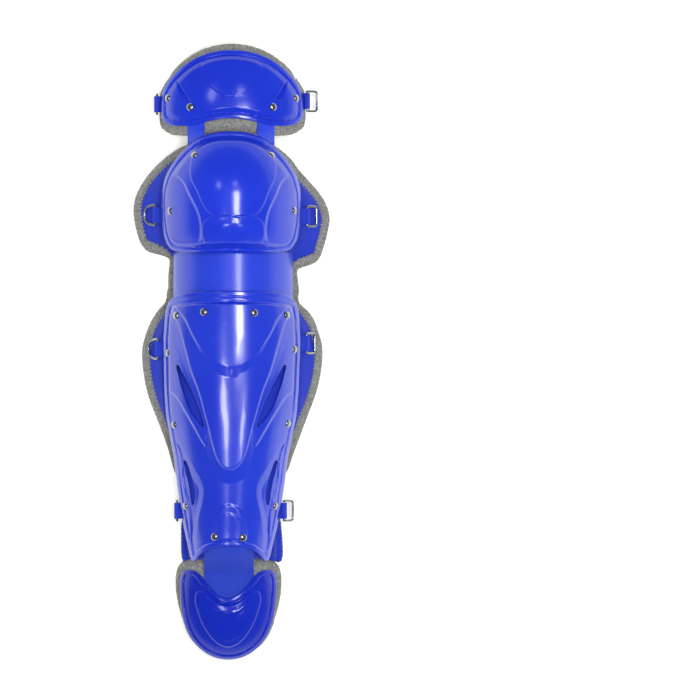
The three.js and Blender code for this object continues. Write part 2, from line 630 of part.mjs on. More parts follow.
// Position of a fastening on a shell's face, and the turn that points +Z along the face's normal.
function seatOn(shell, across, along) {
  let [[x, y]] = placed(shell.section, [[across, along]]);
  if (shell.form === shinForm) x += shinCentre(y) - shinMiddle;
  const depth = Math.max(depthInside(shell.loop, x, y), 0);
  const normal = normalOf(shell.form, x, y);
  const position = new THREE.Vector3(x, y, shell.form(x, y) + shell.relief(x, y, depth));
  const turn = new THREE.Quaternion().setFromUnitVectors(new THREE.Vector3(0, 0, 1), normal);
  return new THREE.Matrix4().compose(position, turn, new THREE.Vector3(1, 1, 1));
}
const turned = (rows) => new THREE.LatheGeometry(rows.map(([r, z]) => new THREE.Vector2(r, z)), 7);
const stemLength = (relief) => shellWall + shellStandoff + relief - 2.5 * gap;

function rivetShape(stem) {
  const head = rivetHeadRadius;
  const high = rivetHeadHeight;
  const rows = [[0, -stem], [rivetStemRadius, -stem], [rivetStemRadius, 0], [head, 0]];
  rows.push([head * 0.72, high * 0.8], [0, high]);
  return turned(rows).rotateX(Math.PI / 2);
}
// The room that a rivet needs: a seat under its head and a hole round its stem, longer than the stem.
function rivetRoom(stem, longer = 4) {
  const hole = rivetStemRadius + gap;
  const seat = rivetHeadRadius + gap;
  const end = -stem - longer;
  const rows = [[0, end], [hole, end], [hole, -rivetSeat], [seat, -rivetSeat], [seat, 9], [0, 9]];
  return solidOf(turned(rows).rotateX(Math.PI / 2));
}

// Nodes
const group = new THREE.Group();
const finish = (color, roughness, metalness = 0) =>
  new THREE.MeshStandardMaterial({ color, roughness, metalness });
const blueGloss = finish(0x1c2dcd, 0.15);
const blueBand = finish(0x2b40e0, 0.3);
const blueWeave = finish(0x2440d0, 0.8);
const greyLining = finish(0x9b9b96, 0.9);
const nickel = finish(0xc8c8c8, 0.2, 1);

function add(name, geometry, material) {
  const mesh = new THREE.Mesh(geometry, material);
  mesh.name = name;
  group.add(mesh);
  return mesh;
}

const shellSolids = { thigh: solidOf(thighShell), knee: solidOf(kneeShell), shin: shinSolid };
const rivets = [];
Object.entries(rivetRows).forEach(([part, rows]) => {
  const shell = shellsByName[part];
  rows.forEach(([across, along], i) => {
    const seat = seatOn(shell, across, along);
    const origin = new THREE.Vector3().setFromMatrixPosition(seat);
    const relief = origin.z - shell.form(origin.x, origin.y);
    const stem = stemLength(relief);
    rivets.push({ name: `${part}_rivet_${i + 1}`, seat, stem, part });
    shellSolids[part] = shellSolids[part].subtract(rivetRoom(stem).transform(seat.elements));
  });
});

// Rings on webbing tabs: side, place along the section, how far the bar lies out of the shell's edge,
// whether the ring is a D or a rounded rectangle, and how far it hangs below level; none: it lies on the pad.
const ringHalf = webbingWidth / 2 + 0.7 + ringWire / 2; // half height of the wire's middle line
const roundDepth = 15;
const squareDepth = 12.5;
const ringPlay = 0.6; // between the bar and the webbing round it
const eyeRadius = ringWire / 2 + ringPlay + webbingWall;
const ringRows = [
  { name: "thigh_left", part: "thigh", side: -1, along: 0.7, out: 4.2, round: true, drop: 84 },
  { name: "thigh_right", part: "thigh", side: 1, along: 0.66, out: 4.2, round: false, drop: 30 },
  { name: "knee_left", part: "knee", side: -1, along: 0.675, out: 6.5, round: true, drop: null },
  { name: "knee_right", part: "knee", side: 1, along: 0.685, out: 6.5, round: false, drop: null },
  { name: "shin_left", part: "shin", side: -1, along: 0.213, out: 6, round: true, drop: null },
  { name: "shin_right", part: "shin", side: 1, along: 0.192, out: 6, round: false, drop: null },
  { name: "ankle_left", part: "shin", side: -1, along: 0.81, out: 4.2, round: true, drop: 84 },
  { name: "ankle_right", part: "shin", side: 1, along: 0.81, out: 4.2, round: false, drop: 40 },
];

// The x of a shell's side edge at a station.
function edgeOf(shell, side, y) {
  const sideways = [...Array(240).keys()].map((i) => shell.section.middle + side * (40 + i * 0.25));
  const within = sideways.filter((x) => depthInside(shell.loop, x, y) > 0);
  return Math.max(...within.map((x) => x * side)) * side;
}

// The middle line of a ring's wire: [out of the bar, along the bar], the bar first.
function ringLine(round) {
  const line = [[0, -ringHalf * 0.97], [0, ringHalf * 0.97]];
  if (round) {
    steps(0.06, 0.94, 7).forEach((t) => {
      line.push([roundDepth * Math.sin(Math.PI * t) ** 0.75, ringHalf * Math.cos(Math.PI * t)]);
    });
  } else {
    const corner = 3;
    [[0.5, 1], [squareDepth - corner, 1]].forEach(([u, v]) => line.push([u + 0.6, v * ringHalf]));
    line.push([squareDepth - 0.9, ringHalf - 0.9], [squareDepth, ringHalf - corner]);
    line.push([squareDepth, corner - ringHalf], [squareDepth - 0.9, 0.9 - ringHalf]);
    line.push([squareDepth - corner + 0.6, -ringHalf], [1.1, -ringHalf]);
  }
  return line;
}

// A wire of six sides along a closed plane line. The line's plane holds Y and the direction `away`.
function wireRing(line, centre, away) {
  const sides = 6;
  const across = new THREE.Vector3(0, 1, 0);
  const up = new THREE.Vector3().crossVectors(across, away);
  const place = ([u, v]) => centre.clone().addScaledVector(away, u).addScaledVector(across, v);
  const corners = line.flatMap((at, i) => {
    const before = place(line[(i || line.length) - 1]);
    const after = place(line[(i + 1) % line.length]);
    const outward = new THREE.Vector3().crossVectors(after.sub(before).normalize(), up);
    return steps(0, 2 * Math.PI, sides).slice(0, sides).map((angle) =>
      place(at)
        .addScaledVector(outward, (Math.cos(angle) * ringWire) / 2)
        .addScaledVector(up, (Math.sin(angle) * ringWire) / 2),
    );
  });
  const index = line.flatMap((_, i) =>
    [...Array(sides).keys()].flatMap((k) => {
      const next = ((i + 1) % line.length) * sides;
      const [a, b] = [i * sides + k, i * sides + ((k + 1) % sides)];
      const [c, d] = [next + k, next + ((k + 1) % sides)];
      return [a, c, b, b, c, d];
    }),
  );
  const geometry = new THREE.BufferGeometry();
  geometry.setAttribute("position", new THREE.Float32BufferAttribute(corners.flatMap((p) => [...p]), 3));
  geometry.setIndex(index);
  return geometry;
}

// A short round bar along Y.
function barSolid(centre, radius, length) {
  const geometry = new THREE.CylinderGeometry(radius, radius, length, 8).rotateY(Math.PI / 8);
  return solidOf(geometry.translate(centre.x, centre.y, centre.z));
}

// A folded webbing tab, from between shell and pad out to its eye round the ring's bar.
function tabSolid(shell, side, edge, bar, wall, width, eye) {
  const inner = shellWall + shellStandoff / 2;
  const stations = steps(bar.y - width / 2, bar.y + width / 2, 1);
  const upper = [];
  const lower = [];
  stations.forEach((y) => {
    const line = [9 + wall, 6.5, 3.4].map((back) => {
      const x = edge - side * back;
      return new THREE.Vector2(x, shell.form(x, y, inner));
    });
    line.push(new THREE.Vector2(bar.x, bar.z));
    line.forEach((at, i) => {
      const before = line[Math.max(i - 1, 0)];
      const after = line[Math.min(i + 1, line.length - 1)];
      const way = after.clone().sub(before).normalize().multiplyScalar(side * (wall / 2));
      upper.push(new THREE.Vector3(at.x - way.y, y, at.y + way.x));
      lower.push(new THREE.Vector3(at.x + way.y, y, at.y - way.x));
    });
  });
  const faces = gridFaces(stations.length, 4);
  const net = side > 0 ? faces.map(([a, b, c]) => [a, c, b]) : faces;
  return solidOf(plate(upper, lower, net)).add(barSolid(bar, eye, width));
}

const padSolids = { thigh: solidOf(thighPad), knee: solidOf(kneePad), shin: solidOf(shinPad) };
const padHeights = {
  thigh: (x, y) => softMax(thighForm(x, y, shellWall + shellStandoff), padRim, 2),
  knee: kneePadHeight,
  shin: shinPadHeight,
};
ringRows.forEach((row) => {
  const shell = shellsByName[row.part];
  const y = shell.section.top - row.along * shell.section.length;
  const edge = edgeOf(shell, row.side, y);
  const x = edge + row.side * row.out;
  const depth = row.round ? roundDepth : squareDepth;
  const free = row.drop !== null;
  const z = free ? shell.form(edge, y) - 3 : padHeights[row.part](x, y) + eyeRadius + 2 * gap;
  const bar = new THREE.Vector3(x, y, z);
  const tipUnder = (drop) => {
    const reach = [0.35, 0.7, 1.12].map((share) => share * depth);
    const room = reach.map((r) => {
      const under = padHeights[row.part](x + row.side * r * Math.cos(drop), y);
      return z - r * Math.sin(drop) - ringWire / 2 - 4 * gap - under;
    });
    return Math.min(...room);
  };
  const laid = steps(0, Math.PI / 3, 60).filter((drop) => tipUnder(drop) > 0).pop() ?? 0;
  const drop = free ? THREE.MathUtils.degToRad(row.drop) : laid;
  const away = new THREE.Vector3(row.side * Math.cos(drop), 0, -Math.sin(drop));
  const ring = add(`${row.name}_ring`, wireRing(ringLine(row.round), bar, away), nickel);
  ring.userData = { bar: bar.toArray(), drop: THREE.MathUtils.radToDeg(drop) };
  const wall = 2 * webbingWall;
  const tab = tabSolid(shell, row.side, edge, bar, wall, webbingWidth, eyeRadius);
  const roomWidth = webbingWidth + 3 * gap;
  const room = tabSolid(shell, row.side, edge, bar, wall + 6 * gap, roomWidth, eyeRadius + 2 * gap);
  const nearby = rivets.filter((rivet) => rivet.part === row.part);
  const pierced = nearby.reduce(
    (solid, { seat, stem }) => solid.subtract(rivetRoom(stem).transform(seat.elements)),
    tab.subtract(barSolid(bar, ringWire / 2 + ringPlay, webbingWidth + 6)),
  );
  add(`${row.name}_tab`, geometryOf(pierced), blueBand);
  shellSolids[row.part] = shellSolids[row.part].subtract(room);
  padSolids[row.part] = padSolids[row.part].subtract(room);
});

rivets.forEach(({ name, part, seat, stem }) => {
  add(name, rivetShape(stem).applyMatrix4(seat), nickel);
  padSolids[part] = padSolids[part].subtract(rivetRoom(stem, gap).transform(seat.elements));
});

[["left", -1], ["right", 1]].forEach(([name, side]) => {
  add(`hinge_strap_${name}`, strapAt(side, 0), blueBand);
  const room = solidOf(strapAt(side, 1.5 * gap));
  shellSolids.knee = shellSolids.knee.subtract(room);
  padSolids.thigh = padSolids.thigh.subtract(room);
});
add("knee_band", kneeBand, blueBand);
padSolids.knee = padSolids.knee.subtract(solidOf(bandRoom));
add("ankle_strip", ankleStrip, blueWeave);
Object.entries(shellSolids).forEach(([name, solid]) => add(`${name}_shell`, geometryOf(solid), blueGloss));
add("toe_shell", toeShell, blueGloss);
Object.entries(padSolids).forEach(([name, solid]) => add(`${name}_pad`, geometryOf(solid), greyLining));
add("toe_pad", toePad, greyLining);

export default group;
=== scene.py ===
# %% [markdown]
# # A catcher's leg guard, dressed on its CAD frame
# The CAD model says how big each part is, where it goes and what turns on what. This file gives the
# parts the look of the real ones: moulded plastic, sewn foam pads, webbing and nickel-plated metal.
# Everything is measured in the CAD frame: +Y runs from the toe to the thigh, +Z out of the front.

# %% Load the frame
import json
import math

import bmesh
import bpy
import numpy as np
from mathutils.bvhtree import BVHTree
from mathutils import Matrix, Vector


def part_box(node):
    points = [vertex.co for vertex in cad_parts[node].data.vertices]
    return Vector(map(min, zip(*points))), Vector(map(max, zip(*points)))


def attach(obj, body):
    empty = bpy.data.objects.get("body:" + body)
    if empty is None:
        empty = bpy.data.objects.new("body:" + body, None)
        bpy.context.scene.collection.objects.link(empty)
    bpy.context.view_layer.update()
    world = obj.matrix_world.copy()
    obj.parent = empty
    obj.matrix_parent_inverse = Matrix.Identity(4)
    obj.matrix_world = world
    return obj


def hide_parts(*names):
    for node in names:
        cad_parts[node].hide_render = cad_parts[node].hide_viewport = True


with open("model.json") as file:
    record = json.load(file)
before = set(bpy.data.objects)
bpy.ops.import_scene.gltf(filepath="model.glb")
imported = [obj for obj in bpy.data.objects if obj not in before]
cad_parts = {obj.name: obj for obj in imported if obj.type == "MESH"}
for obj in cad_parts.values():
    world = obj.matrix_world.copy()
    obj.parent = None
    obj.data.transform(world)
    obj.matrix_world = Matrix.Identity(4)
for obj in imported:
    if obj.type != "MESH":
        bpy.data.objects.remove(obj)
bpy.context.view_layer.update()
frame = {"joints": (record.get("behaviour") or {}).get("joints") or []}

MM = 0.001

# %% [markdown]
# ## Camera
# The photograph looks straight down on the guard, which lies on its back. A camera far above with a
# long lens gives the same flat view: no side of the guard leans in or out. The guard lies left of the
# middle, because a pair was laid side by side and this is the left one of the two.

# %% Camera straight above the photograph's centre
VIEW_WIDTH = 787.5 * MM  # what the photograph's width covers at the height of the shells
VIEW_CENTRE = (133.9 * MM, 2.4 * MM)
CAMERA_HEIGHT = 7.0
FOCUS_HEIGHT = 50 * MM
camera_data = bpy.data.cameras.new("camera")
camera_data.sensor_width = 36
camera_data.lens = camera_data.sensor_width * (CAMERA_HEIGHT - FOCUS_HEIGHT) / VIEW_WIDTH
camera_data.clip_start = 0.05
camera_data.clip_end = 60
camera = bpy.data.objects.new("camera", camera_data)
camera.location = (*VIEW_CENTRE, CAMERA_HEIGHT)
bpy.context.scene.collection.objects.link(camera)
bpy.context.scene.camera = camera
print("lens", round(camera_data.lens, 1), "mm")

# %% [markdown]
# ## The sizes that the CAD model was built from
# The shells and pads are drawn again here, finer than the CAD needs them. To land in the same place
# they start from the same few lengths, in millimetres, and from tables of shares of those lengths.

# %% Lengths along the leg, half widths and crests
THIGH_MARGIN, THIGH_LENGTH, KNEE_GAP, KNEE_LENGTH = 8, 86, 6, 138.5
BAND_REVEAL, SHIN_LENGTH, TOE_GAP, TOE_LENGTH = 41, 306, 8, 103
THIGH_HALF, KNEE_HALF, BAND_HALF, SHIN_HALF, TOE_HALF = 81.5, 80, 67.3, 78.75, 55.5
THIGH_MIDDLE, BAND_MIDDLE, SHIN_MIDDLE, SHIN_LEAN, TOE_MIDDLE, KNEE_TURN = 0.9, 2, 1.2, -2.6, -3.6, 4.5
THIGH_CREST, KNEE_CREST, BAND_CREST, SHIN_CREST, ANKLE_CREST, TOE_CREST = 68, 113, 84, 88, 64, 52
SHELL_WALL, STANDOFF, BAND_WALL, STRAP_WALL, STRIP_WALL, PAD_WALL, PAD_RIM = 3, 3.2, 2.2, 1.7, 1.8, 9, 8.5
RIM_WIDTH, RIM_HEIGHT = 5, 1.8

WHOLE = THIGH_MARGIN + THIGH_LENGTH + KNEE_GAP + KNEE_LENGTH + BAND_REVEAL + SHIN_LENGTH + TOE_GAP + TOE_LENGTH
THIGH_TOP = WHOLE / 2 - THIGH_MARGIN
KNEE_TOP = THIGH_TOP - THIGH_LENGTH - KNEE_GAP
KNEE_BOTTOM = KNEE_TOP - KNEE_LENGTH
SHIN_TOP = KNEE_BOTTOM - BAND_REVEAL
SHIN_BOTTOM = SHIN_TOP - SHIN_LENGTH
TOE_TOP = SHIN_BOTTOM - TOE_GAP
print("whole length", WHOLE, "mm")

# %% [markdown]
# ## Small maths on arrays
# Every shape below is a rule that gives a height for a place on the plan. Numpy works such a rule out
# for all points of a mesh at once, so a fine mesh takes no longer to write than a coarse one.

# %% Steps, blends and tables
def mix(a, b, share):
    return a + (b - a) * share


def smooth(value, low, high):
    share = np.clip((value - low) / (high - low), 0, 1)
    return share * share * (3 - 2 * share)


def soft_max(a, b, blend):
    share = np.clip(0.5 + 0.5 * (a - b) / blend, 0, 1)
    return mix(b, a, share) + blend * share * (1 - share)


def read_table(rows, at, column):
    table = np.array(rows, float)
    return np.interp(at, table[:, 0], table[:, column])


# %% Outlines: rows of shares of a section's half width and length, left halves
SECTIONS = {
    "thigh": (THIGH_MIDDLE, THIGH_HALF, THIGH_TOP, THIGH_LENGTH),
    "knee": (0, KNEE_HALF, KNEE_TOP, KNEE_LENGTH),
    "shin": (SHIN_MIDDLE, SHIN_HALF, SHIN_TOP, SHIN_LENGTH),
    "toe": (TOE_MIDDLE, TOE_HALF, TOE_TOP, TOE_LENGTH),
}


def placed(section, rows):
    middle, half, top, length = SECTIONS[section]
    rows = np.array(rows, float)
    return np.column_stack([middle + rows[:, 0] * half, top - rows[:, 1] * length])


def mirrored(rows):
    return list(rows) + [(-a, b) for a, b in rows[-2:0:-1]]


STEPS_PER_CORNER = 24


def walked(line):
    """The distance walked along a line at each of its points."""
    return np.concatenate([[0], np.cumsum(np.linalg.norm(np.diff(line, axis=0), axis=1))])


def rounded(corners, count, closed=True):
    """A centripetal Catmull-Rom curve through the corners, as evenly spaced points."""
    corners = np.array(corners, float)
    n = len(corners)
    pieces = []
    for i in range(n if closed else n - 1):
        p = [corners[(i + k) % n if closed else min(max(i + k, 0), n - 1)] for k in (-1, 0, 1, 2)]
        gaps = [max(np.linalg.norm(p[k + 1] - p[k]) ** 0.5, 1e-4) for k in range(3)]
        t1, t2, t3 = gaps[0], gaps[0] + gaps[1], sum(gaps)
        t = np.linspace(t1, t2, STEPS_PER_CORNER, endpoint=False)[:, None]
        a1 = (t1 - t) / t1 * p[0] + t / t1 * p[1]
        a2 = (t2 - t) / gaps[1] * p[1] + (t - t1) / gaps[1] * p[2]
        a3 = (t3 - t) / gaps[2] * p[2] + (t - t2) / gaps[2] * p[3]
        b1 = (t2 - t) / t2 * a1 + t / t2 * a2
        b2 = (t3 - t) / (t3 - t1) * a2 + (t - t1) / (t3 - t1) * a3
        pieces.append((t2 - t) / gaps[1] * b1 + (t - t1) / gaps[1] * b2)
    line = np.vstack(pieces + [corners[:1] if closed else corners[-1:]])
    length = walked(line)
    at = np.linspace(0, length[-1], count, endpoint=not closed)
    return np.column_stack([np.interp(at, length, line[:, k]) for k in (0, 1)])


def beside(x, y, ax, ay, bx, by):
    """How far along the span from a to b each point's nearest place lies, as a share, and how far away."""
    share = np.clip(((x - ax) * (bx - ax) + (y - ay) * (by - ay)) / ((bx - ax) ** 2 + (by - ay) ** 2), 0, 1)
    return share, np.hypot(x - mix(ax, bx, share), y - mix(ay, by, share))


def depth_inside(outline, x, y, with_run=False):
    """How far each point lies inside a closed outline, negative outside it, and how far along it."""
    x, y = np.asarray(x, float), np.asarray(y, float)
    nearest, inside, run = np.full(x.shape, 1e9), np.zeros(x.shape, bool), np.zeros(x.shape)
    so_far = 0.0
    for ax, ay, bx, by in zip(*np.roll(outline, 1, axis=0).T, *outline.T):
        size = math.hypot(bx - ax, by - ay)
        if size < 1e-9:
            continue
        crosses = ((ay > y) != (by > y)) & (x < (bx - ax) * (y - ay) / ((by - ay) or 1e-12) + ax)
        inside ^= crosses
        share, away = beside(x, y, ax, ay, bx, by)
        if with_run:
            run = np.where(away < nearest, so_far + share * size, run)
        nearest = np.minimum(nearest, away)
        so_far += size
    depth = np.where(inside, nearest, -nearest)
    return (depth, run) if with_run else depth


# %% [markdown]
# ## The forms
# Each shell follows a plain form: a dome for the caps and an arch for the shin. A pad follows the same
# form a few millimetres further in, so the layers stay parallel, as on the real guard.

# %% Domes and arches
def dome(middle, peak, across, up, down, power, fullness, base, rise):
    def height(x, y, inward=0):
        side = 1 - ((x - middle) / (across - inward)) ** 2
        rising = y > peak
        reach = np.where(rising, up, down) - inward
        end = np.abs((y - peak) / reach) ** np.where(rising, 2, power)
        left = np.where(rising, side - end, mix(side - end, side * (1 - end), fullness))
        return base + (rise - inward) * np.sqrt(np.maximum(left, 0))
    return height


def arch(middle, across, crest, base):
    def height(x, y, inward=0):
        side = 1 - ((x - middle(y)) / (across(y) - inward)) ** 2
        return base + (crest(y) - base - inward) * np.sqrt(np.maximum(side, 0))
    return height


thigh_form = dome(THIGH_MIDDLE, THIGH_TOP - 0.79 * THIGH_LENGTH, 1.03 * THIGH_HALF,
                  1.16 * THIGH_LENGTH, 1.6 * THIGH_LENGTH, 2, 0, 8, THIGH_CREST - 8)
knee_form = dome(0, KNEE_TOP - 0.52 * KNEE_LENGTH, 1.05 * KNEE_HALF,
                 0.69 * KNEE_LENGTH, 0.606 * KNEE_LENGTH, 4, 0.75, -2, KNEE_CREST + 2)
toe_form = dome(TOE_MIDDLE, TOE_TOP - 0.39 * TOE_LENGTH, 1.08 * TOE_HALF,
                TOE_LENGTH, 0.64 * TOE_LENGTH, 2, 0, 3, TOE_CREST - 3)
band_form = arch(lambda y: BAND_MIDDLE, lambda y: 1.055 * BAND_HALF, lambda y: BAND_CREST, -2)

# share of the shin's length from its top, share of its half width, share of the way up from the ankle's crest
SHIN_ROWS = [
    (0, 0.9, 1), (0.02, 0.945, 1), (0.06, 0.97, 1), (0.165, 0.996, 0.98), (0.25, 0.985, 0.95),
    (0.35, 0.974, 0.89), (0.454, 0.944, 0.8), (0.5, 0.905, 0.74), (0.572, 0.857, 0.64),
    (0.621, 0.82, 0.56), (0.684, 0.796, 0.46), (0.759, 0.76, 0.32), (0.841, 0.705, 0.17),
    (0.89, 0.675, 0.08), (0.949, 0.624, 0), (1, 0.585, 0.03),
]


def eased(rows, count=160):
    """The same table with its corners rounded over."""
    table = np.array(rows, float)
    at = np.linspace(table[0, 0], table[-1, 0], count)
    columns = [np.interp(at, table[:, 0], table[:, k]) for k in range(1, table.shape[1])]
    window = np.hanning(13)
    window /= window.sum()
    ease = [np.convolve(np.pad(c, 6, mode="reflect", reflect_type="odd"), window, "valid") for c in columns]
    return np.column_stack([at, *ease])


SHIN_TABLE = eased(SHIN_ROWS)


def shin_along(y):
    return (SHIN_TOP - y) / SHIN_LENGTH


def shin_centre(y):
    return SHIN_MIDDLE + SHIN_LEAN * np.clip(shin_along(y), 0, 1.2)


def shin_half(y):
    return SHIN_HALF * read_table(SHIN_TABLE, shin_along(y), 1)


def shin_crest(y):
    return mix(ANKLE_CREST, SHIN_CREST, read_table(SHIN_TABLE, shin_along(y), 2))


def shin_across(y):
    return 1.08 * mix(shin_half(y), 0.97 * SHIN_HALF, 0.9 * (1 - smooth(shin_along(y), 0, 0.1)))


shin_form = arch(shin_centre, shin_across, shin_crest, -2)
FORMS = {"thigh": thigh_form, "knee": knee_form, "shin": shin_form, "toe": toe_form}


def normal_of(form, x, y):
    step = 0.5
    sx = (form(x + step, y) - form(x - step, y)) / (2 * step)
    sy = (form(x, y + step) - form(x, y - step)) / (2 * step)
    normal = np.column_stack([-sx, -sy, np.ones_like(sx)])
    return normal / np.linalg.norm(normal, axis=1, keepdims=True)


print("crest of the knee", float(knee_form(0, KNEE_TOP - 0.52 * KNEE_LENGTH)))

# %% [markdown]
# ## Shader maths as plain expressions
# A material that shows weave or fine marks needs many Math nodes. Wrapping a socket in a small class
# lets each pattern be written as the formula that it is, and each operator adds its own node.

# %% A socket that can be added, subtracted and multiplied
class Signal:
    def __init__(self, tree, socket):
        self.tree, self.socket = tree, socket

    def math(self, operation, *values):
        return math_node(self.tree, operation, *values)

    def __add__(self, other): return self.math("ADD", self, other)
    def __sub__(self, other): return self.math("SUBTRACT", self, other)
    def __rsub__(self, other): return self.math("SUBTRACT", other, self)
    def __mul__(self, other): return self.math("MULTIPLY", self, other)
    __radd__ = __add__
    __rmul__ = __mul__

    def sine(self): return self.math("SINE", self)
    def size(self): return self.math("ABSOLUTE", self)

    def ramp(self, low, high):
        """0 below low, 1 above high, eased between them."""
        return add_node(self.tree, "ShaderNodeMapRange", {"interpolation_type": "SMOOTHSTEP"},
                        Value=self, From_Min=low, From_Max=high)["Result"]


def link(tree, socket, value):
    if isinstance(value, Signal):
        tree.links.new(value.socket, socket)
    elif value is not None:
        socket.default_value = value


def add_node(tree, kind, settings=None, **sockets):
    """Adds a node: its settings first, then a value or a link for each named socket."""
    node = tree.nodes.new(kind)
    for name, value in (settings or {}).items():
        if name == "stops":
            while len(node.color_ramp.elements) > 1:
                node.color_ramp.elements.remove(node.color_ramp.elements[-1])
            for i, (at, colour) in enumerate(value):
                stop = node.color_ramp.elements[0] if i == 0 else node.color_ramp.elements.new(at)
                stop.position, stop.color = at, colour
        else:
            setattr(node, name, value)
    for name, value in sockets.items():
        link(tree, node.inputs[name.replace("_", " ")], value)
    return {socket.name: Signal(tree, socket) for socket in node.outputs if socket.enabled}


def math_node(tree, operation, *values):
    node = tree.nodes.new("ShaderNodeMath")
    node.operation = operation
    for socket, value in zip(node.inputs, values):
        link(tree, socket, value)
    return Signal(tree, node.outputs[0])


def colour_of(red, green, blue):
    """A colour as a picture editor shows it, turned into the linear light that Blender works in."""
    shares = [c / 255 for c in (red, green, blue)]
    return tuple(c / 12.92 if c <= 0.04 else ((c + 0.055) / 1.055) ** 2.4 for c in shares) + (1.0,)


class Finish:
    """A new material with a Principled shader, its coordinates and helpers for what patterns need."""
    def __init__(self, name):
        self.material = bpy.data.materials.new(name)
        self.material.use_nodes = True
        self.tree = self.material.node_tree
        self.shader = self.tree.nodes["Principled BSDF"]
        self.place = add_node(self.tree, "ShaderNodeTexCoord")["Object"]
        parts = add_node(self.tree, "ShaderNodeSeparateXYZ", Vector=self.place)
        self.x, self.y, self.z = parts["X"], parts["Y"], parts["Z"]

    def set(self, **values):
        for name, value in values.items():
            link(self.tree, self.shader.inputs[name.replace("_", " ")], value)

    def noise(self, scale, detail=2.0, roughness=0.5, place=None):
        return add_node(self.tree, "ShaderNodeTexNoise", Vector=place or self.place, Scale=scale,
                        Detail=detail, Roughness=roughness)["Fac"]

    def stretched(self, sx, sy, sz):
        return add_node(self.tree, "ShaderNodeMapping", Vector=self.place, Scale=(sx, sy, sz))["Vector"]

    def attribute(self, name):
        return add_node(self.tree, "ShaderNodeAttribute", {"attribute_name": name})["Fac"]

    def blend(self, factor, first, second):
        node = self.tree.nodes.new("ShaderNodeMix")
        node.data_type = "RGBA"
        link(self.tree, node.inputs[0], factor)
        link(self.tree, node.inputs[6], first)
        link(self.tree, node.inputs[7], second)
        return Signal(self.tree, node.outputs[2])

    def bump(self, height, distance, strength=1.0):
        normal = add_node(self.tree, "ShaderNodeBump", Height=height, Distance=distance, Strength=strength)
        self.set(Normal=normal["Normal"])


print("shader helpers ready")

# %% [markdown]
# ## Moulded plastic
# The shells are injection-moulded and glossy. A real moulding is never quite a mirror: it has a faint
# waviness, a few hairline scuffs and a roughness that varies with handling. All three are noise at
# different scales, and none is strong enough to be seen by itself.

# %% Glossy royal blue for the shells
def plastic(name, deep, light, roughness, coat, bend):
    finish = Finish(name)
    mottle = finish.noise(9, 3)
    scuffs = finish.noise(60, 6, 0.65, finish.stretched(1, 7, 1)).ramp(0.62, 0.8)
    finish.set(
        Base_Color=finish.blend(mottle.ramp(0.3, 0.7), deep, light),
        Roughness=roughness + 0.05 * mottle + 0.16 * scuffs,
        Coat_Weight=coat, Coat_Roughness=0.05, IOR=bend,
    )
    wave = finish.noise(26, 1) + 0.08 * finish.noise(420, 2)
    finish.bump(wave, 0.0006, 0.5)
    return finish.material


shell_blue = plastic("shell_blue", colour_of(21, 47, 197), colour_of(27, 55, 208), 0.17, 0.2, 1.5)
shin_blue = plastic("shin_blue", colour_of(21, 47, 195), colour_of(27, 56, 206), 0.18, 0.4, 1.7)
toe_blue = plastic("toe_blue", colour_of(12, 33, 168), colour_of(17, 40, 182), 0.14, 0.1, 1.42)
band_blue = plastic("band_blue", colour_of(34, 60, 200), colour_of(40, 67, 210), 0.26, 0.1, 1.5)
print("plastics", shell_blue.name, shin_blue.name, toe_blue.name, band_blue.name)

# %% [markdown]
# ## Fabrics
# The front of each wing is a fine woven nylon, and the lining that wraps its edge is a grey knit. The
# weave is a product of two sine waves turned against each other; the knit is the same with longer
# loops. Both also raise the surface a little, so that light catches the threads.

# %% Woven and knitted patterns
def weave(finish, pitch, turn=0.0):
    """Height of a plain weave with this thread pitch in metres, about 0 to 1, and a mask of its gaps."""
    rate = 2 * math.pi / pitch
    across = finish.x * math.cos(turn) + finish.y * math.sin(turn)
    along = finish.y * math.cos(turn) - finish.x * math.sin(turn)
    warp, weft = (across * rate).sine(), (along * rate).sine()
    return 0.5 + 0.25 * (warp * weft) + 0.25 * ((across * (rate * 2)).sine() * (along * (rate * 2)).sine())


strap_blue = Finish("strap_blue")
ribs = (strap_blue.x * (2 * math.pi / 0.0011)).sine()
strap_blue.set(
    Base_Color=strap_blue.blend(strap_blue.noise(30, 4), colour_of(38, 66, 214), colour_of(46, 76, 226)),
    Roughness=0.5 + 0.1 * strap_blue.noise(200, 3),
)
strap_blue.bump(0.3 * ribs + strap_blue.noise(900, 3), 0.00012)

webbing_blue = Finish("webbing_blue")
twill = weave(webbing_blue, 0.0016, math.pi / 4)
webbing_blue.set(
    Base_Color=webbing_blue.blend(twill, colour_of(20, 42, 172), colour_of(42, 70, 222)),
    Roughness=0.65, Sheen_Weight=0.05,
)
webbing_blue.bump(twill, 0.0004)

ballistic_blue = Finish("ballistic_blue")
basket = weave(ballistic_blue, 0.0028)
ballistic_blue.set(
    Base_Color=ballistic_blue.blend(basket.ramp(0.25, 0.8), colour_of(16, 38, 158), colour_of(52, 86, 226)),
    Roughness=0.62, Sheen_Weight=0.05,
)
ballistic_blue.bump(basket, 0.0007)

thread_grey = Finish("thread_grey")
thread_grey.set(
    Base_Color=thread_grey.blend(thread_grey.noise(700, 2), colour_of(84, 84, 84), colour_of(132, 132, 130)),
    Roughness=0.75, Sheen_Weight=0.2,
)
print("fabrics ready")

# %% [markdown]
# ## Foam pads in two cloths
# One pad shows two cloths: blue nylon in front, and grey knit on the inside that wraps over the edge.
# Where one gives way to the other depends on how far a point lies from the pad's edge, so each pad
# carries that distance, and the distance along the edge, as attributes that its material reads.

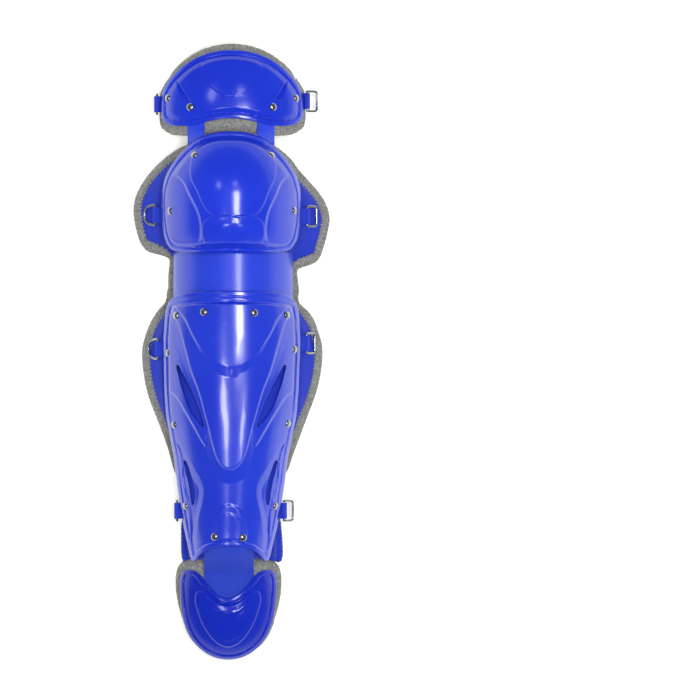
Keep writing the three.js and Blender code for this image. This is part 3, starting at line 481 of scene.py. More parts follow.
# %% Pad cloth: grey edge and lining, blue front
def pad_cloth(name, grey_width, blue_below=-1.0):
    """Grey for this width along the edge and blue inside it, and blue out to the edge below a place in Y."""
    finish = Finish(name)
    depth, run, front = finish.attribute("edge_depth"), finish.attribute("edge_run"), finish.attribute("front")
    scallop = 0.0013 * (run * (math.pi / 0.0046)).sine().size()
    width = grey_width * finish.y.ramp(blue_below - 0.008, blue_below) - 0.001
    blue_part = (depth - scallop - width).ramp(-0.0002, 0.0002) * front.ramp(0.4, 0.6)
    fine = weave(finish, 0.0019, math.pi / 4)
    knit = finish.noise(900, 3, 0.75)
    heather = finish.noise(330, 4, 0.75)
    loops = (run * (2 * math.pi / 0.0027)).sine() * (0.011 - depth).ramp(0.0, 0.004)
    speckle = (0.5 * knit + 0.5 * heather + 0.02 * loops).ramp(0.38, 0.64)
    grey = finish.blend(speckle, colour_of(106, 106, 105), colour_of(166, 166, 160))
    blue = finish.blend(fine.ramp(0.2, 0.85), colour_of(16, 38, 160), colour_of(36, 64, 216))
    finish.set(
        Base_Color=finish.blend(blue_part, grey, blue), Roughness=0.86 - 0.14 * blue_part, Sheen_Weight=0.06,
    )
    seam = 1 - (depth - width - scallop).size().ramp(0.0, 0.0012)
    grey_relief = (1 - blue_part) * (0.9 * knit + 0.35 * loops)
    finish.bump(0.5 * fine * blue_part + grey_relief - 1.8 * seam * front, 0.0006)
    return finish.material


wing_cloth = pad_cloth("wing_cloth", grey_width=0.0094, blue_below=-0.168)
grey_cloth = pad_cloth("grey_cloth", grey_width=1.0)
print("pad cloths", wing_cloth.name, grey_cloth.name)

# %% [markdown]
# ## Nickel plate
# Rings and rivets are bright nickel over steel: fully metallic, slightly warm, with a little haze.

# %% Nickel
nickel = Finish("nickel_plate")
haze = nickel.noise(300, 4)
nickel.set(
    Base_Color=nickel.blend(haze, colour_of(146, 145, 146), colour_of(190, 189, 190)),
    Metallic=1.0, Roughness=0.07 + 0.12 * haze.ramp(0.4, 0.75),
)
nickel.bump(nickel.noise(900, 3), 0.00004)

# %% [markdown]
# ## Meshes from points and faces
# A shell is two skins with a wall round their open edges. Both skins share one net of faces, so the
# same helper closes a cap, the shin, a strap and a pad.

# %% Build, name and dress a piece
def make_mesh(name, points, faces, material, is_smooth=True):
    mesh = bpy.data.meshes.new(name)
    mesh.from_pydata((np.asarray(points) * MM).tolist(), [], [tuple(f) for f in faces])
    mesh.materials.append(material)
    if is_smooth:
        mesh.shade_smooth()
    piece = bpy.data.objects.new(name, mesh)
    bpy.context.scene.collection.objects.link(piece)
    return piece


def grid_faces(rows, columns):
    index = np.arange(rows * columns).reshape(rows, columns)
    a, b, c, d = index[:-1, :-1], index[1:, :-1], index[1:, 1:], index[:-1, 1:]
    return np.stack([a, b, c, d], -1).reshape(-1, 4).tolist()


def ring_faces(rings, count):
    """Faces of rings of points, the last of which closes on a centre point."""
    index = np.arange(rings * count).reshape(rings, count)
    after = np.roll(index, -1, axis=1)
    quads = np.stack([index[:-1], after[:-1], after[1:], index[1:]], -1).reshape(-1, 4).tolist()
    return quads + [(a, b, rings * count) for a, b in zip(index[-1], after[-1])]


def border(x, y):
    """The outline of a net of points, once round."""
    return np.column_stack([np.concatenate([net[0], net[1:, -1], net[-1, -2::-1], net[-2:0:-1, 0]])
                            for net in (x, y)])


def plate(upper, lower, rows, columns, is_ring=False):
    """Two skins and the wall between them; the hidden lower skin keeps every second row and column."""
    index = np.arange(rows * columns).reshape(rows, columns)
    coarse = index[::2, ::2]
    renumbered = np.arange(coarse.size).reshape(coarse.shape) + len(upper)
    net_faces = ring_faces if is_ring else grid_faces
    faces, hidden = net_faces(*index.shape), net_faces(*coarse.shape)
    kept = coarse.ravel().tolist() + ([rows * columns] if is_ring else [])
    under = [tuple(len(upper) + v for v in reversed(face)) for face in hidden]
    if is_ring:
        top, bottom = index[0], renumbered[0]
    else:
        top, bottom = (np.concatenate([net[:-1, 0], net[-1, :-1], net[:0:-1, -1], net[0, :0:-1]])
                       for net in (index, renumbered))
    after, below = np.roll(top, -2)[::2], np.roll(bottom, -1)
    wall = np.stack([top[::2], bottom, below, after, top[1::2]], -1).tolist()
    return np.vstack([upper, lower[kept]]), faces + under + wall


def finish_piece(piece, nodes, body="guard"):
    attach(piece, body)
    if nodes:
        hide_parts(*nodes)
    print(piece.name, len(piece.data.polygons), "faces")
    return piece


# %% [markdown]
# ## The relief of the shells
# What makes the mouldings readable is low relief: a raised rim, facets, a keel and rails that carry the
# load past the vents. Each is an outline in which the surface is raised or lowered, with an edge as
# sharp as the tool that cut the mould. The tables are shares of the section again, left half only.

# %% Raised and lowered areas
POINTS_PER_CORNER = 8
EDGE_RADIUS = 1.3


def folded(section, x):
    middle = SECTIONS[section][0]
    return middle - np.abs(x - middle)


def signed(section, rows, x, y, sharp=False):
    """Depth inside the outline of a left-half table, on both halves."""
    corners = placed(section, rows)
    outline = corners if sharp else rounded(corners, POINTS_PER_CORNER * len(corners))
    return depth_inside(outline, folded(section, x), y)


def raised(section, rows, x, y, edge, sharp=False):
    return smooth(signed(section, rows, x, y, sharp), -edge / 2, edge / 2)


def ridge(section, line, x, y, width):
    """A thin rib or crease along an open line of the left half, on both halves."""
    corners = placed(section, line)
    path = rounded(corners, POINTS_PER_CORNER * len(corners), closed=False)
    fx, nearest = folded(section, x), np.full(np.shape(x), 1e9)
    for start, stop in zip(path[:-1], path[1:]):
        nearest = np.minimum(nearest, beside(fx, y, *start, *stop)[1])
    return 1 - smooth(nearest, width * 0.25, width)


def rim_at(depth):
    """A rounded bead along the edge with a narrow groove inside it."""
    bead = RIM_HEIGHT * smooth(RIM_WIDTH + 0.4 - depth, 0, 1.1)
    groove = 0.5 * np.exp(-((depth - RIM_WIDTH - 1.2) / 0.7) ** 2)
    return bead - groove


def edge_round(depth):
    inset = np.clip(EDGE_RADIUS - depth, 0, EDGE_RADIUS)
    return EDGE_RADIUS - np.sqrt(EDGE_RADIUS**2 - inset**2)


def dashes(depth, run, at, pitch):
    """A row of small raised dashes that follows the edge."""
    across = np.exp(-((depth - at) / 0.55) ** 4)
    return across * smooth(np.cos(2 * math.pi * run / pitch), 0.1, 0.5)


# %% Relief of the thigh cap
THIGH_CREASE = [(-0.773, 0.377), (-0.72, 0.46), (-0.66, 0.56), (-0.6, 0.66), (-0.57, 0.701)]
THIGH_HOLLOW = [(-0.773, 0.38), (-0.7, 0.5), (-0.575, 0.7), (-0.62, 0.665), (-0.69, 0.63), (-0.735, 0.5)]
THIGH_SMILE = [(0.02, 0.61), (-0.12, 0.595), (-0.25, 0.52), (-0.34, 0.43), (-0.4, 0.2), (0.02, 0.1)]


def thigh_relief(x, y, depth, run):
    body = smooth(depth, RIM_WIDTH + 0.5, RIM_WIDTH + 8)
    hollow = raised("thigh", THIGH_HOLLOW, x, y, 1.0, sharp=True) * ridge("thigh", THIGH_CREASE, x, y, 10)
    smile = raised("thigh", THIGH_SMILE, x, y, 1.6)
    crease = ridge("thigh", THIGH_CREASE, x, y, 1.6)
    low = smooth(THIGH_TOP - 0.8 * THIGH_LENGTH - y, 0, 5)
    row = dashes(depth, run, 6.6, 8) * low
    return rim_at(depth) + body * (2.4 - 4.4 * hollow + 0.7 * smile + 0.8 * crease) + 0.8 * row


# %% Relief of the knee cap
KNEE_FACET = [
    (-0.83, 0.36), (-0.71, 0.4), (-0.6, 0.53), (-0.5, 0.65), (-0.462, 0.73), (-0.452, 0.84), (-0.47, 0.895),
    (-0.56, 0.905), (-0.8, 0.895), (-0.89, 0.82), (-0.93, 0.62), (-0.91, 0.44),
]
KNEE_CROWN = [
    (0.02, 0.695), (-0.25, 0.692), (-0.34, 0.672), (-0.42, 0.61), (-0.5, 0.5), (-0.6, 0.36), (-0.52, 0.16),
    (0.02, 0.06),
]
KNEE_PANEL = [
    (0.02, 0.712), (-0.33, 0.712), (-0.41, 0.745), (-0.435, 0.82), (-0.41, 0.905), (-0.33, 0.945), (0.02, 0.95),
]
KNEE_OVAL = [(0.02, 0.745), (-0.17, 0.76), (-0.25, 0.83), (-0.17, 0.905), (0.02, 0.92)]


def knee_relief(x, y, depth, run):
    across = (x / KNEE_HALF) ** 2
    turned = x - KNEE_TURN * np.maximum(1 - across, 0)
    body = smooth(depth, RIM_WIDTH + 0.5, RIM_WIDTH + 8)
    facet = raised("knee", KNEE_FACET, turned, y, 2.6)
    lip = ridge("knee", KNEE_FACET[:7], turned, y, 1.8)
    crown = raised("knee", KNEE_CROWN, turned, y, 1.2)
    panel = raised("knee", KNEE_PANEL, turned, y, 1.6)
    oval = raised("knee", KNEE_OVAL, turned, y, 9)
    low = smooth(KNEE_TOP - 0.9 * KNEE_LENGTH - y, 0, 4)
    row = dashes(depth, run, 6.8, 7.5) * low
    return rim_at(depth) + body * (
        3.6 * (1 - facet) + 0.6 * lip + 1.2 * crown + 1.0 * panel + 0.8 * oval
    ) + 0.5 * row


# %% Relief of the instep cap
TOE_TONGUE = [
    (0.02, 0.845), (-0.081, 0.839), (-0.207, 0.807), (-0.351, 0.73), (-0.497, 0.61), (-0.594, 0.479),
    (-0.665, 0.322), (-0.62, 0.24), (-0.4, 0.26), (-0.2, 0.36), (0.02, 0.4),
]
TOE_BLADE = [
    (0.02, 0.78), (-0.1, 0.77), (-0.225, 0.73), (-0.42, 0.624), (-0.545, 0.479), (-0.57, 0.36), (-0.4, 0.36),
    (-0.2, 0.44), (0.02, 0.47),
]
TOE_BROW = [(0.02, 0.5), (-0.2, 0.45), (-0.36, 0.36), (-0.5, 0.24), (-0.5, 0.1), (0.02, 0.1)]


def toe_relief(x, y, depth, run):
    body = smooth(depth, RIM_WIDTH + 0.5, RIM_WIDTH + 5)
    tongue = raised("toe", TOE_TONGUE, x, y, 1.6)
    blade = raised("toe", TOE_BLADE, x, y, 2.4)
    brow = raised("toe", TOE_BROW, x, y, 7)
    return rim_at(depth) + body * (1.3 * tongue + 0.5 * blade + 0.9 * brow)


# %% Relief of the shin shell: keel, crescent, rails, feet of the rails and ankle brow
SHIN_UPPER = [
    (0.02, 0.272), (-0.11, 0.271), (-0.247, 0.255), (-0.383, 0.222), (-0.48, 0.185), (-0.566, 0.15),
    (-0.66, 0.1), (-0.8, 0.055), (-0.8, 0.03), (0.02, 0.03),
]
SHIN_LOWER = [
    (0.02, 0.3155), (-0.064, 0.3155), (-0.174, 0.3015), (-0.293, 0.2735), (-0.38, 0.245), (-0.43, 0.229),
    (-0.5, 0.195), (-0.572, 0.158), (-0.67, 0.106), (-0.82, 0.055), (-0.82, 0.02), (0.02, 0.02),
]
SHIN_BLADE = [
    (0.02, 0.651), (-0.09, 0.647), (-0.175, 0.619), (-0.24, 0.572), (-0.297, 0.513), (-0.36, 0.454),
    (-0.45, 0.372), (-0.571, 0.29), (-0.66, 0.21), (-0.76, 0.12), (-0.84, 0.07), (-0.84, 0.02), (0.02, 0.02),
]
SHIN_KEEL = [
    (0.02, 0.703), (-0.08, 0.701), (-0.165, 0.692), (-0.245, 0.67), (-0.3, 0.63), (-0.345, 0.57),
    (-0.39, 0.51), (-0.45, 0.45), (-0.54, 0.37), (-0.66, 0.28), (-0.76, 0.2), (-0.85, 0.12), (-0.9, 0.06),
    (-0.9, 0.01), (0.02, 0.01),
]
SHIN_RAIL = [
    (0.02, 0.4), (-0.33, 0.5), (-0.35, 0.573), (-0.4, 0.555), (-0.47, 0.523), (-0.543, 0.49), (-0.68, 0.431),
    (-0.8, 0.385), (-1.2, 0.32), (-1.2, -0.1), (0.02, -0.1),
]
SHIN_FOOT = [
    (-0.8, 0.535), (-0.63, 0.603), (-0.515, 0.652), (-0.41, 0.695), (-0.375, 0.728), (-0.385, 0.767),
    (-0.42, 0.8), (-0.455, 0.841), (-0.475, 0.9), (-0.47, 0.95), (-0.5, 1.06), (-1.15, 1.06), (-1.15, 0.5),
]
SHIN_FOOT_FLOOR = [
    (-0.86, 0.56), (-0.7, 0.622), (-0.6, 0.665), (-0.49, 0.705), (-0.448, 0.733), (-0.456, 0.765),
    (-0.485, 0.8), (-0.525, 0.85), (-0.55, 0.9), (-0.55, 0.96), (-0.58, 1.06), (-1.15, 1.06), (-1.15, 0.52),
]
SHIN_FLANK = [
    (-1.2, 0.5), (-0.78, 0.56), (-0.695, 0.621), (-0.672, 0.706), (-0.6, 0.779), (-0.562, 0.842),
    (-0.556, 0.904),
    (-0.54, 0.96), (-0.54, 1.06), (-1.2, 1.06),
]
SHIN_BROW = [
    (0.02, 0.818), (-0.06, 0.821), (-0.11, 0.832), (-0.165, 0.852), (-0.2, 0.9), (-0.12, 0.93), (0.02, 0.935),
]
SHIN_TEMPLE = [
    (0.02, 0.786), (-0.06, 0.788), (-0.12, 0.798), (-0.18, 0.82), (-0.225, 0.86), (-0.24, 0.91), (0.02, 0.95),
]
SHIN_TOP_LINE = eased([(0, 0), (0.6, 0.004), (0.8, 0.01), (0.93, 0.02), (1, 0.035)], 80)
SHIN_FOOT_LINE = eased([
    (0, 0.936), (0.35, 0.939), (0.54, 0.947), (0.76, 0.972), (0.87, 0.998), (0.95, 0.995), (1, 0.978),
], 80)


def facet(section, inner, outer, x, y):
    """1 inside the inner outline, 0 outside the outer one, and a flat slope between them."""
    within, beyond = signed(section, inner, x, y), signed(section, outer, x, y)
    slope = np.clip(beyond / np.maximum(beyond - within, 1e-6), 0, 1)
    return np.where(within >= 0, 1, np.where(beyond <= 0, 0, slope))


def shin_relief(x, y, depth, run):
    straight = x - shin_centre(y) + SHIN_MIDDLE
    body = smooth(depth, RIM_WIDTH + 0.3, RIM_WIDTH + 3)
    keel = facet("shin", SHIN_BLADE, SHIN_KEEL, straight, y)
    crescent = facet("shin", SHIN_UPPER, SHIN_LOWER, straight, y)
    rail = raised("shin", SHIN_RAIL, straight, y, 1.6)
    blade = raised("shin", SHIN_BLADE, straight, y, 2.2)
    foot = facet("shin", SHIN_FOOT_FLOOR, SHIN_FOOT, straight, y)
    flank = raised("shin", SHIN_FLANK, straight, y, 1.6)
    brow = raised("shin", SHIN_BROW, straight, y, 1.2)
    temple = raised("shin", SHIN_TEMPLE, straight, y, 2.6)
    top_line = SHIN_TOP - SHIN_LENGTH * read_table(SHIN_TOP_LINE, np.abs(x - shin_centre(y)) / shin_half(y), 1)
    below = top_line - y
    collar = 1.8 * smooth(13.6 - below, 0, 1.6) - 1.1 * np.exp(-((below - 6.6) / 0.8) ** 2)
    on_rails = 2.4 * rail * (1 - keel) - 2.4 * foot + 2.6 * flank
    relief = 3.4 * keel + 1.6 * blade + 1.8 * crescent + on_rails + 0.8 * brow + 0.9 * temple
    away_from_collar = smooth(below, 11.5, 15)
    return mix(collar, rim_at(depth), smooth(below, 10, 14)) + body * relief * away_from_collar


RELIEFS = {"thigh": thigh_relief, "knee": knee_relief, "toe": toe_relief, "shin": shin_relief}
print("relief rules", list(RELIEFS))

# %% [markdown]
# ## The three caps
# A cap is drawn as rings: its outline, copies of it set in by a few tenths of a millimetre where the edge
# rounds over, and then ever smaller rings to the middle. The net is fine where the edge needs it.

# %% Outlines of the caps, right halves mirrored
OUTLINES = {
    "thigh": [
        (0, 0), (-0.28, 0.03), (-0.54, 0.12), (-0.72, 0.237), (-0.896, 0.412), (-0.985, 0.57), (-1, 0.72),
        (-0.98, 0.88), (-0.9, 0.965), (-0.74, 1), (-0.5, 0.985), (-0.25, 0.93), (0, 0.905),
    ],
    "knee": [
        (0, 0), (-0.25, 0.012), (-0.464, 0.055), (-0.63, 0.13), (-0.8, 0.24), (-0.928, 0.36), (-0.99, 0.49),
        (-1, 0.61), (-0.985, 0.75), (-0.94, 0.88), (-0.837, 0.962), (-0.62, 0.99), (-0.3, 1), (0, 1),
    ],
    "toe": [
        (0, 0.306), (-0.195, 0.27), (-0.365, 0.19), (-0.499, 0.107), (-0.61, 0.035), (-0.78, 0), (-0.93, 0.02),
        (-1, 0.107), (-1, 0.25), (-0.97, 0.42), (-0.9, 0.6), (-0.78, 0.75), (-0.58, 0.88),
        (-0.32, 0.968), (0, 1),
    ],
}
EDGE_INSETS = [0, 0.12, 0.35, 0.7, 1.2, 1.8, 2.5, 3.2, 3.9, 4.4, 4.8, 5.2, 5.6, 6.0, 6.5]


def set_in(outline, depth):
    before, after = np.roll(outline, 1, axis=0), np.roll(outline, -1, axis=0)
    way = (after - before) / np.linalg.norm(after - before, axis=1, keepdims=True)
    return outline + depth * np.column_stack([-way[:, 1], way[:, 0]])


def ring_points(outline, centre, insets, steps_in):
    last = set_in(outline, insets[-1])
    shares = np.linspace(1, 0, steps_in + 1)[1:-1]
    rings = [set_in(outline, d) for d in insets] + [centre + (last - centre) * s for s in shares]
    return np.vstack(rings + [[centre]]), len(rings)


def skins(points, form, relief, outline):
    x, y = points.T
    depth, run = depth_inside(outline, x, y, with_run=True)
    depth = np.maximum(depth, 0)
    normal = normal_of(form, x, y)
    upper = np.column_stack([x, y, form(x, y) + relief(x, y, depth, run)])
    lower = upper - normal * SHELL_WALL
    roll = edge_round(depth)[:, None] * normal
    return upper - roll, lower + 0.7 * roll


def make_cap(part, centre_share, count, steps_in):
    outline = rounded(placed(part, mirrored(OUTLINES[part])), count)
    centre = placed(part, [centre_share])[0]
    points, rings = ring_points(outline, centre, EDGE_INSETS, steps_in)
    upper, lower = skins(points, FORMS[part], RELIEFS[part], outline)
    return plate(upper, lower, rings, count, True)


CAP_PLANS = {"thigh": ((0, 0.55), 400, 84), "knee": ((0, 0.6), 420, 112), "toe": ((0, 0.62), 360, 76)}
fineness = 1
for part, (centre_share, count, steps_in) in CAP_PLANS.items():
    points, faces = make_cap(part, centre_share, count // fineness, steps_in // fineness)
    cap = make_mesh(f"{part}_cap", points, faces, toe_blue if part == "toe" else shell_blue)
    finish_piece(cap, [f"{part}_shell"])

# %% [markdown]
# ## The shin shell and its vents
# The long shell is a net of rows and columns. Its four slots go right through the moulding, so they are
# cut with a Boolean against straight prisms, which leaves walls of the shell's real thickness.

# %% Net of the shin
def edge_shares(total, insets, count):
    """Shares from 0 to 1 along a line of this length, with both ends refined."""
    ends = np.array(insets) / total
    inner = np.linspace(ends[-1], 1 - ends[-1], count)[1:-1]
    return np.concatenate([ends, inner, 1 - ends[::-1]])


SHIN_INSETS = [0, 0.12, 0.35, 0.7, 1.2, 1.9, 2.7, 3.5, 4.2, 4.8, 5.3, 5.8, 6.4, 7.2, 8.2]
across = 2 * edge_shares(1.9 * SHIN_HALF, SHIN_INSETS, 2 * (95 // fineness) + 1) - 1
along = edge_shares(SHIN_LENGTH, SHIN_INSETS, 2 * (145 // fineness) + 1)
c, s = np.meshgrid(across, along)
start = read_table(SHIN_TOP_LINE, np.abs(c), 1)
end = read_table(SHIN_FOOT_LINE, np.abs(c), 1)
y_net = SHIN_TOP - SHIN_LENGTH * mix(start, end, s)
x_net = shin_centre(y_net) + c * SHIN_HALF * read_table(SHIN_TABLE, s, 1)
net = np.column_stack([x_net.ravel(), y_net.ravel()])
rim = border(x_net, y_net)[::3]
upper, lower = skins(net, shin_form, shin_relief, rim)
points, faces = plate(upper, lower, len(along), len(across))
shin = make_mesh("shin_guard", points, faces, shin_blue)
print("shin net", len(along), "rows by", len(across), "columns")

# %% Cut the four vents
UPPER_VENT = [
    (-0.782, 0.27), (-0.748, 0.315), (-0.7, 0.36), (-0.645, 0.4), (-0.588, 0.436), (-0.493, 0.472),
    (-0.385, 0.502), (-0.375, 0.497), (-0.41, 0.455), (-0.5, 0.395), (-0.59, 0.347), (-0.68, 0.304),
    (-0.765, 0.268),
]
LOWER_VENT = [
    (-0.665, 0.622), (-0.655, 0.65), (-0.605, 0.7), (-0.58, 0.735), (-0.55, 0.785), (-0.535, 0.79),
    (-0.5, 0.765), (-0.505, 0.727), (-0.565, 0.672), (-0.64, 0.624),
]


def prisms(name, outlines, low, high):
    points, faces = [], []
    for outline in outlines:
        first, count = len(points), len(outline)
        points += [(x, y, z) for z in (low, high) for x, y in outline]
        bottom, top = range(first, first + count), range(first + count, first + 2 * count)
        faces += [tuple(bottom)[::-1], tuple(top)]
        faces += [(bottom[i - 1], bottom[i], top[i], top[i - 1]) for i in range(count)]
    return outward(make_mesh(name, points, faces, shin_blue, False))


def outward(piece):
    mesh = bmesh.new()
    mesh.from_mesh(piece.data)
    bmesh.ops.recalc_face_normals(mesh, faces=mesh.faces)
    mesh.to_mesh(piece.data)
    mesh.free()
    return piece


def apply_modifiers(piece):
    bpy.context.view_layer.update()
    graph = bpy.context.evaluated_depsgraph_get()
    mesh = bpy.data.meshes.new_from_object(piece.evaluated_get(graph))
    piece.modifiers.clear()
    old, piece.data = piece.data, mesh
    bpy.data.meshes.remove(old)
    return piece


vents = []
for rows in (UPPER_VENT, LOWER_VENT):
    for side in (1, -1):
        outline = rounded(placed("shin", rows), 40)
        outline[:, 0] = shin_centre(outline[:, 1]) + side * (outline[:, 0] - SHIN_MIDDLE)
        vents.append(outline)
cutter = prisms("vent_cutter", vents, -20, 130)
cut = shin.modifiers.new("vents", "BOOLEAN")
cut.operation, cut.solver, cut.object = "DIFFERENCE", "EXACT", cutter
apply_modifiers(shin)
bpy.data.objects.remove(cutter)
finish_piece(shin, ["shin_shell"])

# %% [markdown]
# ## Foam pads
# A pad is a slab of foam about 9 mm thick, cut to an outline and sewn into its cloth. It follows the
# shell above it and spreads into wings at knee and calf. A cloth simulation with a little pressure
# inside gives the slight, uneven swelling of foam in a cover, which no formula gives.

# %% Outlines and heights of the pads
# station, left and right reach, height at the shell's edge, rim height
KNEE_PAD_ROWS = [
    (0.06, 0.31, 0.31, 0.45, 0.41), (0.1, 0.62, 0.6, 0.43, 0.37), (0.15, 0.8, 0.72, 0.41, 0.32),
    (0.22, 0.97, 0.86, 0.35, 0.23), (0.29, 1.11, 0.95, 0.29, 0.15), (0.38, 1.24, 1.09, 0.25, 0.095),
    (0.48, 1.34, 1.24, 0.23, 0.075), (0.58, 1.39, 1.34, 0.225, 0.075), (0.69, 1.39, 1.39, 0.22, 0.075),
    (0.79, 1.36, 1.37, 0.21, 0.075), (0.89, 1.31, 1.33, 0.19, 0.075), (0.965, 1.22, 1.29, 0.16, 0.075),
    (1, 1.1, 1.27, 0.13, 0.075), (1.015, 0.9, 1.26, 0.12, 0.075), (1.06, 0.89, 1.2, 0.12, 0.075),
    (1.1, 0.89, 1.05, 0.12, 0.075), (1.115, 0.89, 0.945, 0.12, 0.075),
    ((KNEE_LENGTH + BAND_REVEAL + 2.6) / KNEE_LENGTH, 0.89, 0.945, 0.12, 0.075),
]
SHIN_PAD_ROWS = [
    (-3 / SHIN_LENGTH, 0.91, 0.94, 0.14, 0.097), (0.035, 0.955, 0.97, 0.17, 0.097),
    (0.07, 1.07, 1.11, 0.21, 0.097), (0.105, 1.16, 1.2, 0.25, 0.097), (0.14, 1.22, 1.25, 0.27, 0.097),
    (0.2, 1.29, 1.31, 0.28, 0.097), (0.255, 1.295, 1.31, 0.28, 0.097), (0.33, 1.26, 1.27, 0.27, 0.097),
    (0.405, 1.185, 1.19, 0.26, 0.097), (0.47, 1.09, 1.09, 0.25, 0.097), (0.535, 0.99, 0.99, 0.24, 0.097),
    (0.595, 0.91, 0.9, 0.22, 0.097), (0.66, 0.835, 0.81, 0.2, 0.097), (0.7, 0.76, 0.74, 0.19, 0.097),
    (0.78, 0.7, 0.69, 0.19, 0.097), (0.835, 0.69, 0.68, 0.19, 0.097), (0.86, 0.72, 0.7, 0.19, 0.097),
    (0.92, 0.72, 0.72, 0.17, 0.097), (0.975, 0.715, 0.725, 0.15, 0.097), (1, 0.69, 0.705, 0.15, 0.097),
    (1.006, 0.66, 0.67, 0.15, 0.097),
]
FLAT_RIM = 6
GAP = 0.4


def wing_height(rows, section, crest, edge, x, y):
    _, half, top, length = SECTIONS[section]
    station = (top - y) / length
    reach = half * np.where(x < 0, read_table(rows, station, 1), read_table(rows, station, 2))
    root, rim_z = crest * read_table(rows, station, 3), crest * read_table(rows, station, 4)
    spread = np.maximum(reach - FLAT_RIM - edge, 4)
    out = reach - FLAT_RIM - np.abs(x)
    return rim_z + np.maximum(0, root - rim_z) * np.clip(out / spread, 0, 1)


def knee_edge(y):
    station = (KNEE_TOP - y) / KNEE_LENGTH
    rows = [(b, -a) for a, b in OUTLINES["knee"][1:11]]
    return np.where(station > 0.98, BAND_HALF, KNEE_HALF * read_table(rows, station, 1))


def knee_pad_height(x, y):
    station = (KNEE_TOP - y) / KNEE_LENGTH
    body = mix(knee_form(x, y, SHELL_WALL + STANDOFF), band_form(x, y, BAND_WALL + 2 * GAP),
               smooth(station, 0.86, 0.955))
    return soft_max(body, wing_height(KNEE_PAD_ROWS, "knee", KNEE_CREST, knee_edge(y), x, y), 3)


def shin_pad_height(x, y):
    body = mix(band_form(x, y, BAND_WALL + 2 * GAP), shin_form(x, y, SHELL_WALL + STANDOFF),
               smooth(shin_along(y), 0.035, 0.06))
    return soft_max(body, wing_height(SHIN_PAD_ROWS, "shin", SHIN_CREST, shin_half(y), x, y), 3)


PAD_OUTLINES = {
    "thigh": [
        (0, -0.092), (-0.41, -0.02), (-0.756, 0.195), (-0.94, 0.438), (-0.995, 0.56), (-1, 0.74), (-1, 0.935),
        (-0.963, 1.03), (-0.863, 1.1), (-0.65, 1.132), (-0.384, 1.115), (0, 1.1),
    ],
    "toe": [
        (0, -0.13), (-0.5, -0.16), (-0.66, -0.14), (-0.84, -0.11), (-0.945, -0.073), (-1.03, -0.01),
        (-1.07, 0.13), (-1.05, 0.33), (-0.987, 0.5), (-0.9, 0.65), (-0.76, 0.785), (-0.56, 0.89),
        (-0.3, 0.96), (0, 0.983),
    ],
}


def under_shell(form):
    return lambda x, y: soft_max(form(x, y, SHELL_WALL + STANDOFF), PAD_RIM, 2)


PAD_HEIGHTS = {
    "thigh": under_shell(thigh_form), "knee": knee_pad_height,
    "shin": shin_pad_height, "toe": under_shell(toe_form),
}
HALF_EDGE = 1.6


def pad_skins(points, height, outline):
    """Both skins of a pad, rounded towards its edge, with a flat underside where it lies on the ground."""
    x, y = points.T
    depth = np.maximum(depth_inside(outline, x, y), 0)
    half_wall = PAD_WALL / 2
    rounding = (1 - np.sqrt(1 - (1 - np.clip(depth / half_wall, 0, 1)) ** 2)) * (half_wall - HALF_EDGE)
    top = height(x, y)
    normal = normal_of(height, x, y)
    reach = smooth(depth, 2, 12)
    lower = np.column_stack([x - PAD_WALL * normal[:, 0] * reach, y - PAD_WALL * normal[:, 1] * reach,
                             np.maximum(top - PAD_WALL * mix(1, normal[:, 2], reach) + rounding, 0)])
    lower[:, 2] = mix(rounding * 0.35, lower[:, 2], smooth(top, PAD_RIM + 0.5, PAD_RIM + 7))
    return np.column_stack([x, y, top - rounding]), lower


PAD_INSETS = [0, 0.25, 0.8, 1.6, 2.6, 3.6, 4.8, 6.4, 8.5, 11]


def ring_pad(part, centre_share, count, steps_in):
    outline = rounded(placed(part, mirrored(PAD_OUTLINES[part])), count)
    points, rings = ring_points(outline, placed(part, [centre_share])[0], PAD_INSETS, steps_in)
    upper, lower = pad_skins(points, PAD_HEIGHTS[part], outline)
    return plate(upper, lower, rings, count, True), outline


def curved(rows, count):
    """The table as smooth curves through its rows."""
    at = np.linspace(rows[0][0], rows[-1][0], count)
    table = np.array(rows, float)
    curves = [rounded(table[:, [0, k]], 2 * count, closed=False).T for k in range(1, table.shape[1])]
    values = [np.interp(at, np.maximum.accumulate(station), value) for station, value in curves]
    return np.column_stack([at] + values)


def net_pad(part, rows, bow, columns, lines):
    _, half, top, length = SECTIONS[part]
    table = curved(rows, 300)
    c = 2 * edge_shares(2 * 1.2 * half, PAD_INSETS, columns) - 1
    s = edge_shares(length * (rows[-1][0] - rows[0][0]), PAD_INSETS, lines)
    station = mix(rows[0][0], rows[-1][0], s)
    reach = half * np.where(c[None, :] < 0, read_table(table, station, 1)[:, None],
                            read_table(table, station, 2)[:, None])
    x = c[None, :] * reach
    y = top - station[:, None] * length + bow * length * (1 - c[None, :] ** 2) * smooth(s, 0.8, 1)[:, None]
    outline = rounded(border(x, y)[::6], 500)
    points = np.column_stack([x.ravel(), y.ravel()])
    upper, lower = pad_skins(points, PAD_HEIGHTS[part], outline)
    return plate(upper, lower, len(s), len(c)), outline


PADS = {
    "thigh": ring_pad("thigh", (0, 0.6), 180, 24), "knee": net_pad("knee", KNEE_PAD_ROWS, 0, 65, 81),
    "shin": net_pad("shin", SHIN_PAD_ROWS, 0.025, 65, 121), "toe": ring_pad("toe", (0, 0.4), 180, 22),
}
print("pads drawn:", {part: len(mesh[0]) for part, (mesh, _) in PADS.items()})

# %% Swell the foam in its cloth
# The thigh and toe pads are first remeshed evenly. The knee and shin pads keep their own net, because
# their edges run down steep sides, where an even net would tear them.
VOXELS = {"thigh": 2.5, "toe": 2.5}
SWELL_PRESSURE, SWELL_FRAMES, SWELL_LIMIT = 4.0, 14, 1.3 * MM
SCALLOP_PITCH = 5.2
SCALLOP_HEIGHTS = {"thigh": 0.1, "knee": 0.5, "shin": 0.5, "toe": 0.1}


